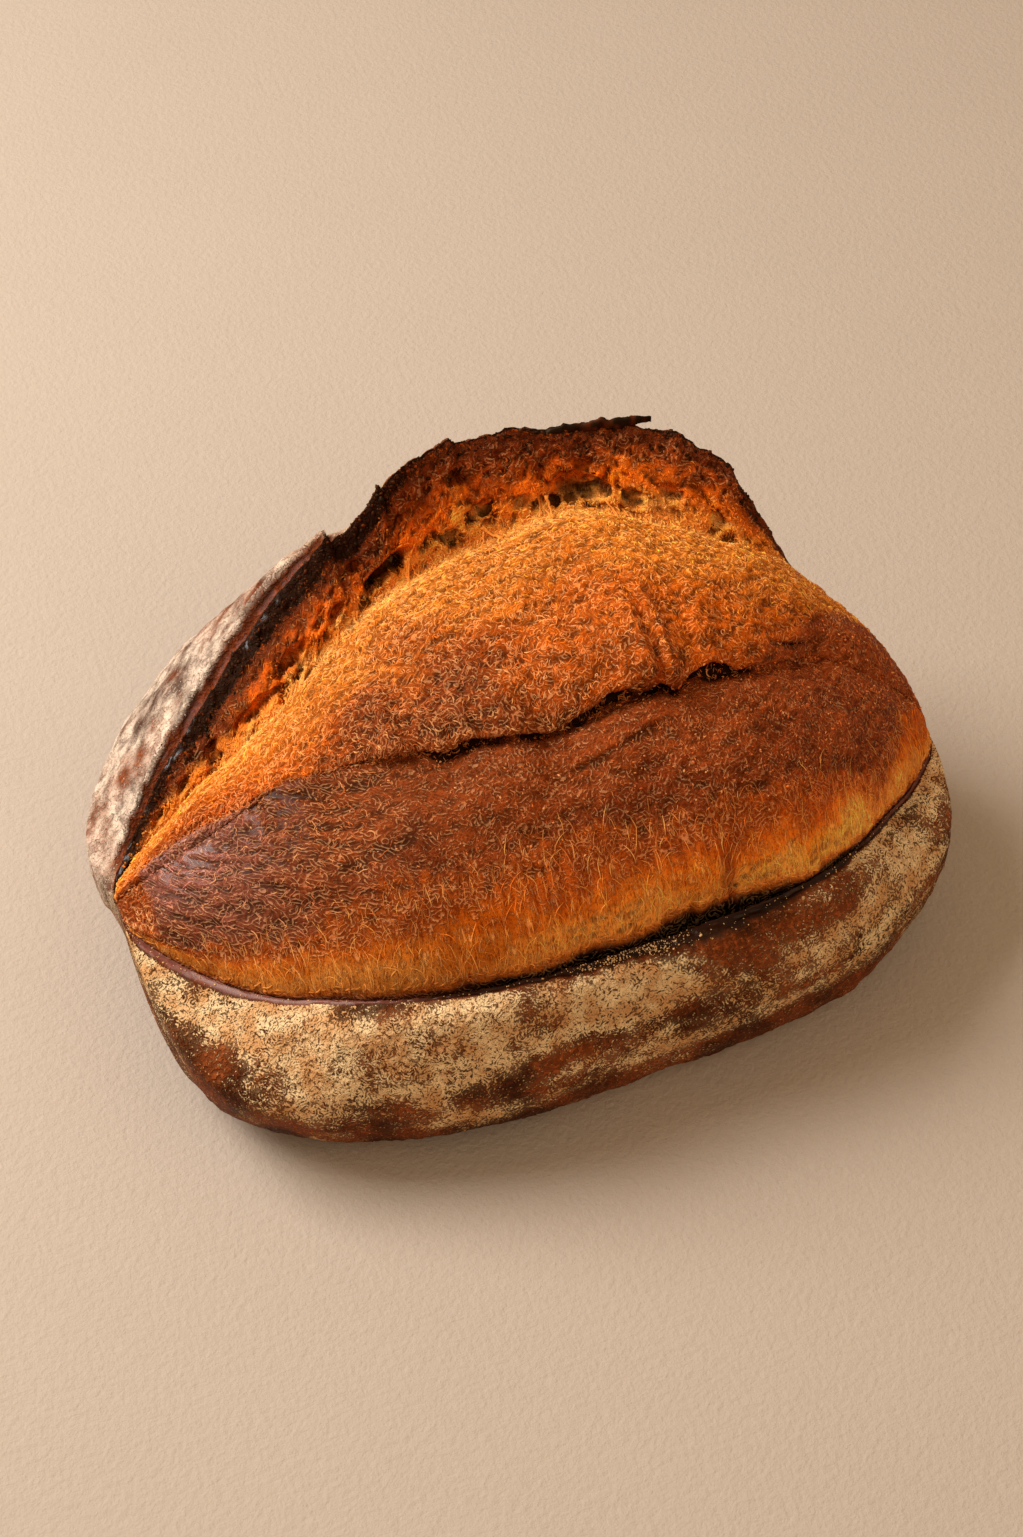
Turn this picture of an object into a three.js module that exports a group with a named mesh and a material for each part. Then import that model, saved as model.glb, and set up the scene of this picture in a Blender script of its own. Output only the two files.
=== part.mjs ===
import * as THREE from 'three';

// A sourdough loaf: a short oval batard, slashed once along its length before baking. The slash has
// opened into a wide bloom, and the crust behind it has peeled up into a tall, torn, charred ear.
//
// Millimetres, +Z up. The loaf is longest along X and rests on the plane Z = 0, with the ear on its
// +Y side. It is one closed solid, swept along X: every station holds one closed profile, and a
// point at each end closes the sweep.

// Driving dimensions
const HALF_LENGTH = 121.5;      // from the middle station to either end point
const PLAN_POWER = 2.7;         // how blunt the two ends are
const UNDERSIDE_POWER = 3.6;    // the underside keeps its depth further towards the ends
const SETTLED = 4;              // how far the dough has settled, which makes the flat foot
const GAP_WIDTH = 5.5;          // across the gap that opened behind the front lip
const FOOT_RISE = 1.2;          // the torn foot of the stretched strip stands this far above the lip
const STRIP_BULGE = 3.4;        // the stretched strip and the brown band stand proud of straight
const BAND_BULGE = 3;           // lines by this much
const EAR_EDGE_THICKNESS = 2.5;
const EAR_THICKNESS = 6.5;      // a little way below its edge
const BACK_BELLY = 9;           // the widest places lie this far below the two end points
const FRONT_BELLY = 14;
const LUMP_HEIGHT = 1.1;        // unevenness of the whole surface
const LUMP_SIZE = 15;
const EAR_TEAR = 1.8;           // raggedness of the ear's free edge
const TEAR_SIZE = 6;
const STEP_RUN = 0.09;          // a tall step in the ear builds up over this share of the half length
const LUMP_TAPER = 0.5;         // lumps fade out below this share of the full section,
const FOOT_FADE = 12;           // and below this height above the foot

// How finely the sweep is cut: stations along it, and steps between the points of each profile
const STATIONS = 96;
const BLOOM_STEPS = [1, 1, 1, 2, 2, 2, 2, 1, 1, 1, 2, 2, 3, 2, 2, 3, 2];
const CRUST_STEPS = [1, 1, 2, 2, 2, 2, 2, 2, 2, 1, 1, 2, 2, 2, 2, 2, 2];
const VALLEY_PLACE = 14;        // which point of the bloom is the valley
const EDGE_PLACE = 17;          // which point of the bloom is the ear's free edge

// How much of the shoulder's swelling each crust point takes, from the ear's edge down
const SHOULDER_SHARES = [0, 0, 0, 0.1, 0.4, 0.8, 1, 1, 0.8, 0.4];

// The rounding down to the foot, as shares of the widest reach and heights
const FOOT_CURVE = [
	{ share: 0.94, height: 14 },
	{ share: 0.82, height: 3 },
	{ share: 0.66, height: 0 },
];

// A value on the cubic that joins two values with the given end slopes.
function cubic(from, to, leave, arrive, u) {
	const rest = 1 - u;
	return (1 + 2 * u) * rest * rest * from + u * rest * rest * leave
		+ u * u * (3 - 2 * u) * to - u * u * rest * arrive;
}

// The slope at each of the values, for a smooth line through them.
function slopes(positions, values) {
	const gaps = positions.slice(1).map((p, i) => p - positions[i]);
	const rises = gaps.map((gap, i) => (values[i + 1] - values[i]) / gap);
	const last = gaps.length - 1;
	return values.map((_, i) => {
		if (i === 0) return rises[0];
		if (i > last) return rises[last];
		return (rises[i - 1] * gaps[i] + rises[i] * gaps[i - 1]) / (gaps[i] + gaps[i - 1]);
	});
}

// A size that changes smoothly along the loaf, given at a few positions: -1 is the -X end point,
// +1 is the +X end point.
function along(...keys) {
	const positions = keys.map((key) => key[0]);
	const values = keys.map((key) => key[1]);
	const tangents = slopes(positions, values);
	return (t) => {
		const i = Math.max(0, positions.findIndex((p, k) => k > 0 && t <= p) - 1);
		const gap = positions[i + 1] - positions[i];
		const u = (t - positions[i]) / gap;
		return cubic(values[i], values[i + 1], tangents[i] * gap, tangents[i + 1] * gap, u);
	};
}

// Y and Z are measured from the line that joins the two end points, at full section.
const form = {
	axisY: along([-1, 9], [1, -10]),
	axisZ: along([-1, 42], [1, 46]),

	// Floured crust: its widest reach in front and behind, the shoulder past the slash's end, and how
	// far the back is drawn in under the ear
	frontY: along([-1, -122], [-0.92, -111], [-0.8, -99], [-0.6, -91], [-0.3, -86], [-0.1, -82],
		[0.3, -77], [0.65, -74], [0.85, -70], [1, -70]),
	backY: along([-1, 78], [-0.9, 90], [-0.72, 103], [-0.3, 94], [0, 88], [0.5, 82], [1, 66]),
	shoulder: along([-1, 6], [-0.9, 5], [-0.6, 1], [-0.3, 0], [1, 0]),
	tuck: along([-1, 0], [-0.4, 0], [-0.1, 8], [0.45, 10], [0.7, 2], [1, 0]),

	// Front lip of the slash, and the depth of the gap that opened behind it
	lipY: along([-1, -30], [-0.79, -56], [-0.43, -70], [0, -66], [0.62, -54], [0.91, -32], [1, -25]),
	lipZ: along([-1, -2], [-0.79, 5], [-0.43, 14], [0, 14], [0.62, 12], [0.91, -1], [1, -4]),
	gap: along([-1, 0.5], [-0.6, 1.2], [-0.2, 3.5], [0.1, 6], [0.45, 5.5], [0.6, 3], [1, 0.8]),

	// Top of the stretched strip, where the brown band begins
	stripY: along([-1, -34], [-0.86, -43], [-0.45, -55], [0, -49], [0.5, -43], [0.84, -20], [1, -10]),
	stripZ: along([-1, 4], [-0.86, 13], [-0.45, 34], [0, 38], [0.5, 39], [0.84, 25], [1, 8]),

	// Crease above the brown band, and how far the golden dome hangs over it
	creaseY: along([-1, -2], [-0.6, -3], [-0.25, -11], [0.05, -17], [0.4, -8], [0.8, 4], [1, 5]),
	creaseZ: along([-1, 12], [-0.6, 38], [-0.25, 50], [0.1, 57], [0.4, 55], [0.8, 38], [1, 20]),
	overhang: along([-1, 0], [-0.5, 0.3], [-0.3, 2.6], [0, 2], [0.15, 3.4], [0.5, 3], [0.75, 0.8], [1, 0]),

	// Top of the golden dome
	domeZ: along([-1, 14], [-0.75, 33], [-0.5, 46], [-0.25, 57], [0, 65], [0.3, 70], [0.5, 67],
		[0.75, 58], [1, 30]),

	// Valley between the dome and the ear
	valleyY: along([-1, 20], [-0.75, 24], [-0.5, 33], [-0.25, 51], [0, 57], [0.3, 58], [0.53, 47],
		[0.73, 45], [1, 40]),
	valleyZ: along([-1, 8], [-0.88, 14], [-0.75, 25], [-0.5, 41], [-0.25, 48], [0, 53], [0.3, 60],
		[0.53, 58], [0.73, 51], [1, 20]),

	// Free edge of the ear, which sinks back into the crust before the +X end
	earY: along([-1, 22], [-0.94, 27], [-0.8, 39], [-0.6, 52], [-0.2, 68], [0.04, 76], [0.27, 73],
		[0.45, 72], [0.57, 69], [0.67, 64], [0.75, 52], [1, 43]),
	earZ: along([-1, 9], [-0.94, 14], [-0.8, 30], [-0.6, 45], [-0.37, 60], [-0.2, 68], [-0.14, 75],
		[0.04, 78], [0.27, 81], [0.45, 83], [0.57, 80], [0.67, 71], [0.75, 51], [1, 22]),
};

// Tall steps in the ear's edge where it tore: position along the loaf, height
const earSteps = [
	{ at: -0.31, rise: 2.5 },
	{ at: -0.17, rise: 3.5 },
	{ at: 0.02, rise: 2.5 },
	{ at: 0.4, rise: 4 },
	{ at: 0.66, rise: 3.5 },
];

// Large holes torn open at the foot of the ear: position along the loaf, height from the valley (0)
// to the free edge (1), half width and half height, and depth
const earHoles = [
	{ at: -0.27, climb: 0.2, wide: 8.5, tall: 4.5, deep: 7 },
	{ at: -0.52, climb: 0.3, wide: 6, tall: 3.5, deep: 4.5 },
	{ at: -0.62, climb: 0.25, wide: 7, tall: 3, deep: 4 },
	{ at: -0.79, climb: 0.3, wide: 4, tall: 3, deep: 3 },
	{ at: -0.02, climb: 0.5, wide: 5, tall: 4, deep: 4.5 },
	{ at: 0.26, climb: 0.35, wide: 9, tall: 5, deep: 5 },
	{ at: 0.42, climb: 0.3, wide: 6, tall: 5, deep: 4.5 },
];

// Repeatable scatter between 0 and 1 for a whole-number place in space
function scatter(i, j, k) {
	const wave = Math.sin(i * 127.1 + j * 311.7 + k * 74.7) * 43758.5453;
	return wave - Math.floor(wave);
}

// Smooth bumps between -1 and 1, about one unit across
function bumps(x, y, z) {
	const { lerp, smoothstep } = THREE.MathUtils;
	const [i, j, k] = [Math.floor(x), Math.floor(y), Math.floor(z)];
	const u = smoothstep(x - i, 0, 1);
	const v = smoothstep(y - j, 0, 1);
	const w = smoothstep(z - k, 0, 1);
	const row = (dj, dk) => lerp(scatter(i, j + dj, k + dk), scatter(i + 1, j + dj, k + dk), u);
	const layer = (dk) => lerp(row(0, dk), row(1, dk), v);
	return 2 * lerp(layer(0), layer(1), w) - 1;
}

// Unevenness along a torn edge, between -1 and 1. Each edge has a seed of its own.
const ragged = (t, seed) => bumps(t * HALF_LENGTH / TEAR_SIZE, seed, 0.5);

// How far the ear's free edge stands above or below its smooth line
function earTear(t) {
	let rise = EAR_TEAR * ragged(t, 0.5);
	for (const step of earSteps) {
		const run = (step.at - t) / STEP_RUN;
		if (run >= 0 && run < 1) rise += step.rise * (1 - run) ** 2;
	}
	return rise;
}

// How much of its full section the loaf has, from 1 in the middle to 0 at the two end points
const taper = (t, power) => (1 - Math.abs(t) ** power) ** (1 / power);

// The two open lines of one profile, as points. The bloom runs from the front lip to the ear's edge.
// The crust runs on from there: down the back, under the loaf and up the front to the lip.
function profile(t) {
	const size = Object.fromEntries(Object.entries(form).map(([name, at]) => [name, at(t)]));
	const { axisY, axisZ, frontY, backY, tuck, lipY, lipZ, gap, stripY, stripZ } = size;
	const { creaseY, creaseZ, domeZ, valleyY, valleyZ, earY } = size;
	const earZ = size.earZ + earTear(t);
	const overhang = size.overhang * (1 + 0.5 * ragged(t, 7));
	const foot = FOOT_RISE + Math.min(1.5, 0.4 * gap) * ragged(t, 3);
	const section = taper(t, PLAN_POWER);
	const underside = taper(t, UNDERSIDE_POWER);
	const mix = THREE.MathUtils.lerp;
	const dome = (share) => mix(creaseY, valleyY, share);

	const upper = (y, z) => new THREE.Vector3(0, axisY + y * section, axisZ + z * section);
	const lower = (y, z) => {
		const depth = (axisZ - z + SETTLED) * underside;
		return new THREE.Vector3(0, axisY + y * section, Math.max(0, axisZ - depth));
	};

	const bloom = [
		upper(lipY, lipZ),
		upper(lipY + 0.35 * GAP_WIDTH, lipZ - 0.6 * gap),
		upper(lipY + 0.75 * GAP_WIDTH, lipZ - gap),
		upper(lipY + GAP_WIDTH, lipZ + foot),
		upper(mix(lipY, stripY, 0.42), mix(lipZ, stripZ, 0.45) + STRIP_BULGE),
		upper(stripY, stripZ),
		upper(mix(stripY, creaseY, 0.5), mix(stripZ, creaseZ, 0.5) + BAND_BULGE),
		upper(mix(stripY, creaseY, 0.85), mix(stripZ, creaseZ, 0.85) + 0.3 * BAND_BULGE),
		upper(creaseY, creaseZ - 0.4 * overhang),
		upper(creaseY - 0.25 * overhang, creaseZ + 0.9 * overhang),
		upper(dome(0.12), mix(creaseZ, domeZ, 0.45) + 0.9 * overhang),
		upper(dome(0.34), mix(creaseZ, domeZ, 0.88) + 0.3 * overhang),
		upper(dome(0.6), domeZ),
		upper(dome(0.85), mix(valleyZ, domeZ, 0.62)),
		upper(valleyY, valleyZ),
		upper(mix(valleyY, earY, 0.25), mix(valleyZ, earZ, 0.31)),
		upper(mix(valleyY, earY, 0.68), mix(valleyZ, earZ, 0.71)),
		upper(earY, earZ),
	];
	const crust = [
		upper(earY, earZ),
		upper(earY + EAR_EDGE_THICKNESS, earZ - 0.8 * EAR_EDGE_THICKNESS),
		upper(earY + EAR_THICKNESS - 0.6 * tuck, earZ - EAR_THICKNESS),
		upper(mix(earY, backY, 0.5) - tuck, mix(earZ, -BACK_BELLY, 0.21)),
		upper(mix(earY, backY, 0.76) - 0.5 * tuck, mix(earZ, -BACK_BELLY, 0.48)),
		upper(mix(earY, backY, 0.96), mix(earZ, -BACK_BELLY, 0.8)),
		upper(backY, -BACK_BELLY),
		...FOOT_CURVE.map(({ share, height }) => lower(share * backY, height)),
		lower(0, 0),
		...FOOT_CURVE.map(({ share, height }) => lower(share * frontY, height)).reverse(),
		upper(frontY, -FRONT_BELLY),
		upper(mix(frontY, lipY, 0.2), mix(-FRONT_BELLY, lipZ, 0.55)),
		upper(mix(frontY, lipY, 0.6), mix(-FRONT_BELLY, lipZ, 0.96)),
		upper(lipY, lipZ),
	];
	// past the -X end of the slash, the back of the crust swells out beyond the end point
	const swell = size.shoulder * Math.sin(Math.PI * section);
	SHOULDER_SHARES.forEach((share, i) => {
		crust[i].x -= swell * share;
	});
	return { bloom, crust, section, earHeight: Math.hypot(earY - valleyY, earZ - valleyZ) * section };
}

// A smooth line through points, cut into the given number of steps between one and the next. Each
// entry is a point and its place: 2.5 is halfway from points[2] to points[3]. The last point is left
// out, because the next line starts there.
function smoothLine(points, steps) {
	const positions = [0];
	for (let i = 1; i < points.length; i += 1) {
		positions.push(positions[i - 1] + Math.sqrt(points[i].distanceTo(points[i - 1]) + 1e-6));
	}
	const axes = [0, 1, 2].map((axis) => points.map((point) => point.getComponent(axis)));
	const tangents = axes.map((values) => slopes(positions, values));
	return steps.flatMap((count, i) => {
		const gap = positions[i + 1] - positions[i];
		return Array.from({ length: count }, (_, step) => {
			const at = axes.map((values, axis) => cubic(values[i], values[i + 1],
				tangents[axis][i] * gap, tangents[axis][i + 1] * gap, step / count));
			return { point: new THREE.Vector3(...at), place: i + step / count };
		});
	});
}

// Sink the torn holes into the inner face of the ear.
function carveHoles({ point, place }, t, earHeight) {
	const climb = (place - VALLEY_PLACE) / (EDGE_PLACE - VALLEY_PLACE);
	for (const hole of earHoles) {
		const sideways = (t - hole.at) * HALF_LENGTH / hole.wide;
		const upwards = (climb - hole.climb) * earHeight / hole.tall;
		const depth = hole.deep * Math.max(0, 1 - sideways ** 2 - upwards ** 2);
		point.y += 0.8 * depth;
		point.z -= 0.6 * depth;
	}
}

// Make the surface uneven, less so near the end points and never below the flat foot.
function addLumps(point, x, section) {
	const fade = Math.min(1, section / LUMP_TAPER) * THREE.MathUtils.smoothstep(point.z, 0, FOOT_FADE);
	const [u, v, w] = [x / LUMP_SIZE, point.y / LUMP_SIZE, point.z / LUMP_SIZE];
	point.y += LUMP_HEIGHT * fade * bumps(u, v, w);
	point.z += LUMP_HEIGHT * fade * bumps(w, u, v);
	point.z = Math.max(0, point.z);
}

function loafGeometry() {
	const rings = [];
	for (let station = 1; station < STATIONS; station += 1) {
		const t = -Math.cos(Math.PI * station / STATIONS);
		const { bloom, crust, section, earHeight } = profile(t);
		const inner = smoothLine(bloom, BLOOM_STEPS);
		inner.forEach((vertex) => carveHoles(vertex, t, earHeight));
		const ring = [...inner, ...smoothLine(crust, CRUST_STEPS)].map(({ point }) => point);
		ring.forEach((point) => {
			addLumps(point, t * HALF_LENGTH, section);
			point.x += t * HALF_LENGTH;
		});
		rings.push(ring);
	}
	const count = rings[0].length;
	const endPoint = (t) => new THREE.Vector3(t * HALF_LENGTH, form.axisY(t), form.axisZ(t));
	const points = [...rings.flat(), endPoint(-1), endPoint(1)];

	const triangles = [];
	const leftEnd = points.length - 2;
	const rightEnd = points.length - 1;
	const lastRing = (rings.length - 1) * count;
	for (let j = 0; j < count; j += 1) {
		const next = (j + 1) % count;
		for (let ring = 0; ring < lastRing; ring += count) {
			triangles.push(ring + j, ring + count + j, ring + next);
			triangles.push(ring + next, ring + count + j, ring + count + next);
		}
		triangles.push(leftEnd, j, next);
		triangles.push(rightEnd, lastRing + next, lastRing + j);
	}

	const geometry = new THREE.BufferGeometry().setFromPoints(points);
	geometry.setIndex(triangles);
	return geometry;
}

const crustColour = new THREE.MeshStandardMaterial({ color: 0xa8622c, roughness: 0.8, metalness: 0 });
const geometry = loafGeometry();
geometry.computeBoundingBox();
const { min, max } = geometry.boundingBox;
geometry.translate(-(min.x + max.x) / 2, -(min.y + max.y) / 2, -min.z);
geometry.computeVertexNormals();

const loaf = new THREE.Mesh(geometry, crustColour);
loaf.name = 'loaf';

const group = new THREE.Group();
group.add(loaf);

export default group;
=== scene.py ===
import math
import bpy
import numpy as np
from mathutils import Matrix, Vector


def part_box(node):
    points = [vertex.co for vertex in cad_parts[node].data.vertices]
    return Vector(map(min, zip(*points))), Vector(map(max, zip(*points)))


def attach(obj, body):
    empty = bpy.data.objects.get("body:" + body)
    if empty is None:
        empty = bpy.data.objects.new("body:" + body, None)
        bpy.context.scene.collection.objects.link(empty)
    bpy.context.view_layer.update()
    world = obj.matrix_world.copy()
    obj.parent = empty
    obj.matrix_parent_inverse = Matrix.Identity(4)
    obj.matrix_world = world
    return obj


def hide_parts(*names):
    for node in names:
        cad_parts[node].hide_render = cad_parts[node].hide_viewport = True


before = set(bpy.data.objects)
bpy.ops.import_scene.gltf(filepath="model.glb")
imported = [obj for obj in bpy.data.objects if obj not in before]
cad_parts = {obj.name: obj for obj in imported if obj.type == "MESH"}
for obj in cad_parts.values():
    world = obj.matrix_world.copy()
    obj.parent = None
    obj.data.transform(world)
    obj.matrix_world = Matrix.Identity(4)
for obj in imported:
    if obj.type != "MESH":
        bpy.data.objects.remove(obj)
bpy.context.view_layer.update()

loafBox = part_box("loaf")
mm = 0.001
toasted = (1, 0.6, 0.25)        # baked crust shines warm


class Socket:
    def __init__(self, shader, link):
        self.shader, self.link = shader, link

    def __add__(self, other):
        return self.shader.maths("ADD", self, other)

    def __radd__(self, other):
        return self.shader.maths("ADD", other, self)

    def __sub__(self, other):
        return self.shader.maths("SUBTRACT", self, other)

    def __rsub__(self, other):
        return self.shader.maths("SUBTRACT", other, self)

    def __mul__(self, other):
        return self.shader.maths("MULTIPLY", self, other)

    def __rmul__(self, other):
        return self.shader.maths("MULTIPLY", other, self)

    def __abs__(self):
        return self.shader.maths("ABSOLUTE", self)


class Shader:
    def __init__(self, name):
        self.material = bpy.data.materials.new(name)
        self.material.use_nodes = True
        self.tree = self.material.node_tree
        self.tree.nodes.clear()

    def node(self, kind, settings={}, values={}, output=0):
        made = self.tree.nodes.new(kind)
        for name, value in settings.items():
            setattr(made, name, value)
        for name, value in values.items():
            socket = made.inputs[name]
            if isinstance(value, Socket):
                self.tree.links.new(value.link, socket)
            elif socket.type == "RGBA":
                socket.default_value = (*value, 1)
            else:
                socket.default_value = value
        return Socket(self, made.outputs[output]) if made.outputs else made

    def maths(self, operation, *values):
        return self.node("ShaderNodeMath", {"operation": operation}, dict(enumerate(values)))

    def smooth(self, value, low, high):
        return self.node("ShaderNodeMapRange", {"interpolation_type": "SMOOTHSTEP"},
                         {0: value, 1: low, 2: high})

    def mix(self, share, first, second, how="MIX"):
        return self.node("ShaderNodeMix", {"data_type": "RGBA", "blend_type": how},
                         {0: share, 6: first, 7: second}, 2)

    def times(self, colour, factors):
        return self.mix(1, colour, factors, "MULTIPLY")

    def attribute(self, name, output="Fac"):
        return self.node("ShaderNodeAttribute", {"attribute_name": name}, output=output)

    def positions(self):
        # millimetres on the piece itself
        return self.stretch(self.node("ShaderNodeTexCoord", output=3), (1000, 1000, 1000))

    def stretch(self, vector, scale):
        return self.vectors("MULTIPLY", vector, scale)

    def noise(self, vector, size, detail=2, roughness=0.5):
        return self.node("ShaderNodeTexNoise", {}, {"Vector": vector, "Scale": 1 / size,
                                                    "Detail": detail, "Roughness": roughness})

    def cells(self, vector, size, output="Distance"):
        return self.node("ShaderNodeTexVoronoi", {}, {"Vector": vector, "Scale": 1 / size}, output)

    def vectors(self, operation, first, second, output=0):
        return self.node("ShaderNodeVectorMath", {"operation": operation}, {0: first, 1: second}, output)

    def curls(self, vector, patch, spacing, sway, bend=5):
        # short curved ridges side by side, turned another way in every patch, between -1 and 1
        tile = self.cells(vector, patch, output="Color")
        middle = Socket(self, tile.link.node.outputs["Position"])
        aside = self.vectors("MULTIPLY", self.vectors("SUBTRACT", tile, (0.5, 0.5, 0.5)), sway)
        away = self.vectors("DISTANCE", vector, self.vectors("ADD", middle, aside), "Value")
        return self.maths("SINE", away * (2 * math.pi / spacing) + self.noise(vector, 1.5, 1) * bend)

    def bump(self, height, distance, normal=None):
        values = {"Height": height, "Distance": distance * mm}
        if normal:
            values["Normal"] = normal
        return self.node("ShaderNodeBump", {}, values)

    def principled(self, **values):
        named = {name.replace("_", " "): value for name, value in values.items()}
        surface = self.node("ShaderNodeBsdfPrincipled", {}, {"Specular Tint": toasted, **named})
        self.node("ShaderNodeOutputMaterial", {}, {"Surface": surface})
        return self.material


def ramp(value, low, high):
    u = np.clip((value - low) / (high - low), 0, 1)
    return u * u * (3 - 2 * u)


def near(value, middle, none, full):
    # 1 within "full" of the middle, 0 beyond "none"
    return ramp(np.abs(value - middle), none, full)


def bell(value, middle, width):
    return np.exp(-((value - middle) / width) ** 2)


def scatter(i, j, k):
    wave = np.sin(i * 127.1 + j * 311.7 + k * 74.7) * 43758.5453
    return wave - np.floor(wave)


def bumps(x, y, z):
    # smooth bumps between -1 and 1, about one unit across
    x, y, z = np.broadcast_arrays(x, y, z)
    i, j, k = np.floor(x), np.floor(y), np.floor(z)
    u, v, w = (ramp(part, 0, 1) for part in (x - i, y - j, z - k))
    total = 0
    for a in (0, 1):
        for b in (0, 1):
            for c in (0, 1):
                share = (u if a else 1 - u) * (v if b else 1 - v) * (w if c else 1 - w)
                total = total + share * scatter(i + a, j + b, k + c)
    return 2 * total - 1


def rough(points, size, octaves=3, seed=0):
    total, weight = 0, 1
    for octave in range(octaves):
        x, y, z = (points[..., axis] / size * 2 ** octave + 17.3 * seed for axis in range(3))
        total = total + weight * bumps(x, y, z)
        weight *= 0.5
    return total


def curled(points, size, seed=0):
    # ridges that wander like short curled threads, between 0 and 1
    def shifted(turn):
        return (points[..., axis] / (1.7 * size) + 31.7 * seed + 9.1 * turn for axis in range(3))

    bend = np.stack([bumps(*shifted(turn)) for turn in range(3)], -1)
    u, v, w = np.moveaxis(points / size + 0.9 * bend + seed, -1, 0)
    return 1 - np.clip(np.abs(bumps(u, v, w)) / 0.45, 0, 1)


def cellular(points, seed=0):
    # cells one unit across: distance to the nearest centre, to the next, and the cell's own value
    base = np.floor(points)
    nearest = np.full(points.shape[:-1], 9.0)
    following = nearest.copy()
    own = 0 * nearest
    for a in (-1, 0, 1):
        for b in (-1, 0, 1):
            for c in (-1, 0, 1):
                i, j, k = (base[..., axis] + step for axis, step in enumerate((a, b, c)))
                value = scatter(i + seed, j, k)
                centre = np.stack([i + value, j + scatter(i, j + seed + 5, k),
                                   k + scatter(i, j, k + seed + 9)], -1)
                distance = np.linalg.norm(points - centre, axis=-1)
                closer = distance < nearest
                following = np.where(closer, nearest, np.minimum(following, distance))
                own = np.where(closer, scatter(i, j + seed, k + 3), own)
                nearest = np.where(closer, distance, nearest)
    return nearest, following, own


def slopes(positions, values):
    gaps = np.diff(positions, axis=0)
    rises = np.diff(values, axis=0) / gaps
    inner = (rises[:-1] * gaps[1:] + rises[1:] * gaps[:-1]) / (gaps[1:] + gaps[:-1])
    return np.concatenate([rises[:1], inner, rises[-1:]])


def cubic(start, end, leave, arrive, u):
    rest = 1 - u
    return ((1 + 2 * u) * rest * rest * start + u * rest * rest * leave
            + u * u * (3 - 2 * u) * end - u * u * rest * arrive)


def along(t, *keys):
    # a size that changes along the loaf, from its -X end (-1) to its +X end (+1)
    places, values = np.array(keys, float).T
    tangents = slopes(places, values)
    i = np.clip(np.searchsorted(places, t, side="left") - 1, 0, len(places) - 2)
    gap = places[i + 1] - places[i]
    return cubic(values[i], values[i + 1], tangents[i] * gap, tangents[i + 1] * gap,
                 (t - places[i]) / gap)


loaf = {
    "halfLength": 121.5,
    "planPower": 2.7,
    "undersidePower": 3.6,
    "settled": 4,
    "footRise": 1.2,
    "stripBulge": 3.4,
    "bandBulge": 3,
    "earEdge": 2.5,
    "backBelly": 9,
    "frontBelly": 14,
    "lumpHeight": 1.1,
    "lumpSize": 15,
    "earTear": 1.8,
    "tearSize": 6,
    "stepRun": 0.09,
    "stations": 386,
    "endRound": 55,         # how closely the stations crowd at the two ends
    "inset": 0.997,         # keeps the relief inside the solid's box
    "bloomSteps": [4, 4, 6, 18, 22, 24, 22, 8, 8, 8, 16, 26, 28, 14, 14, 18, 14],
    "crustSteps": [4, 6, 10, 10, 10, 8, 6, 5, 3, 3, 3, 3, 5, 10, 16, 24, 26],
}
earSteps = [(-0.31, 3.8), (-0.17, 4.4), (0.02, 2.5), (0.66, 3.5)]     # place along, height
creaseTears = [                     # place along, place across, half length and width, depth
    (0.12, 8.4, 9, 0.5, 2.6), (0.39, 8.5, 8, 0.5, 2.6), (-0.06, 8.3, 5, 0.4, 1.4),
    (0.26, 8.2, 5, 0.4, 1.6), (0.63, 9.6, 8, 0.14, 1.1), (-0.16, 8.3, 6, 0.4, 1.5),
    (-0.31, 8.55, 8, 0.16, 1.2), (-0.44, 8.6, 7, 0.13, 1), (-0.57, 8.9, 7, 0.14, 1),
]
earHoles = [                        # place along, climb up the ear, half width and height, depth
    (-0.2, 0.27, 7.5, 2.8, 7.5), (-0.27, 0.56, 2.2, 1.8, 4), (-0.34, 0.3, 3, 2.2, 4),
    (0.01, 0.62, 3.2, 2.3, 5), (0.06, 0.34, 2.6, 2, 4.5), (-0.03, 0.22, 2.4, 1.8, 4),
    (0.29, 0.3, 8.5, 4.6, 5.5), (0.32, 0.55, 3, 2, 3), (0.41, 0.24, 3, 3.4, 4.5),
    (0.5, 0.4, 3.4, 2.4, 3.5), (0.6, 0.3, 2.5, 2, 3), (0.16, 0.25, 3, 2, 3.5),
    (-0.47, 0.35, 5.5, 2.4, 4.5), (-0.57, 0.3, 5.5, 2.6, 4), (-0.62, 0.35, 2, 1.6, 4),
    (-0.7, 0.4, 2.4, 1.7, 3), (-0.78, 0.35, 2.2, 1.6, 3), (-0.86, 0.4, 1.8, 1.3, 2.5),
]
gapWidthKeys = [(-1, 1), (-0.5, 1.3), (-0.3, 2.2), (-0.13, 1.5), (-0.05, 3.2), (0.03, 2.2),
                (0.13, 4.2), (0.3, 4.6), (0.37, 3.4), (0.43, 1.6), (0.6, 1.2), (1, 1)]
gapKeys = [(-1, 0.5), (-0.6, 1.2), (-0.2, 3.5), (0.1, 6), (0.45, 5.5), (0.6, 3), (1, 0.8)]
creasePlace, valleyPlace, edgePlace = 8, 14, 17


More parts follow.
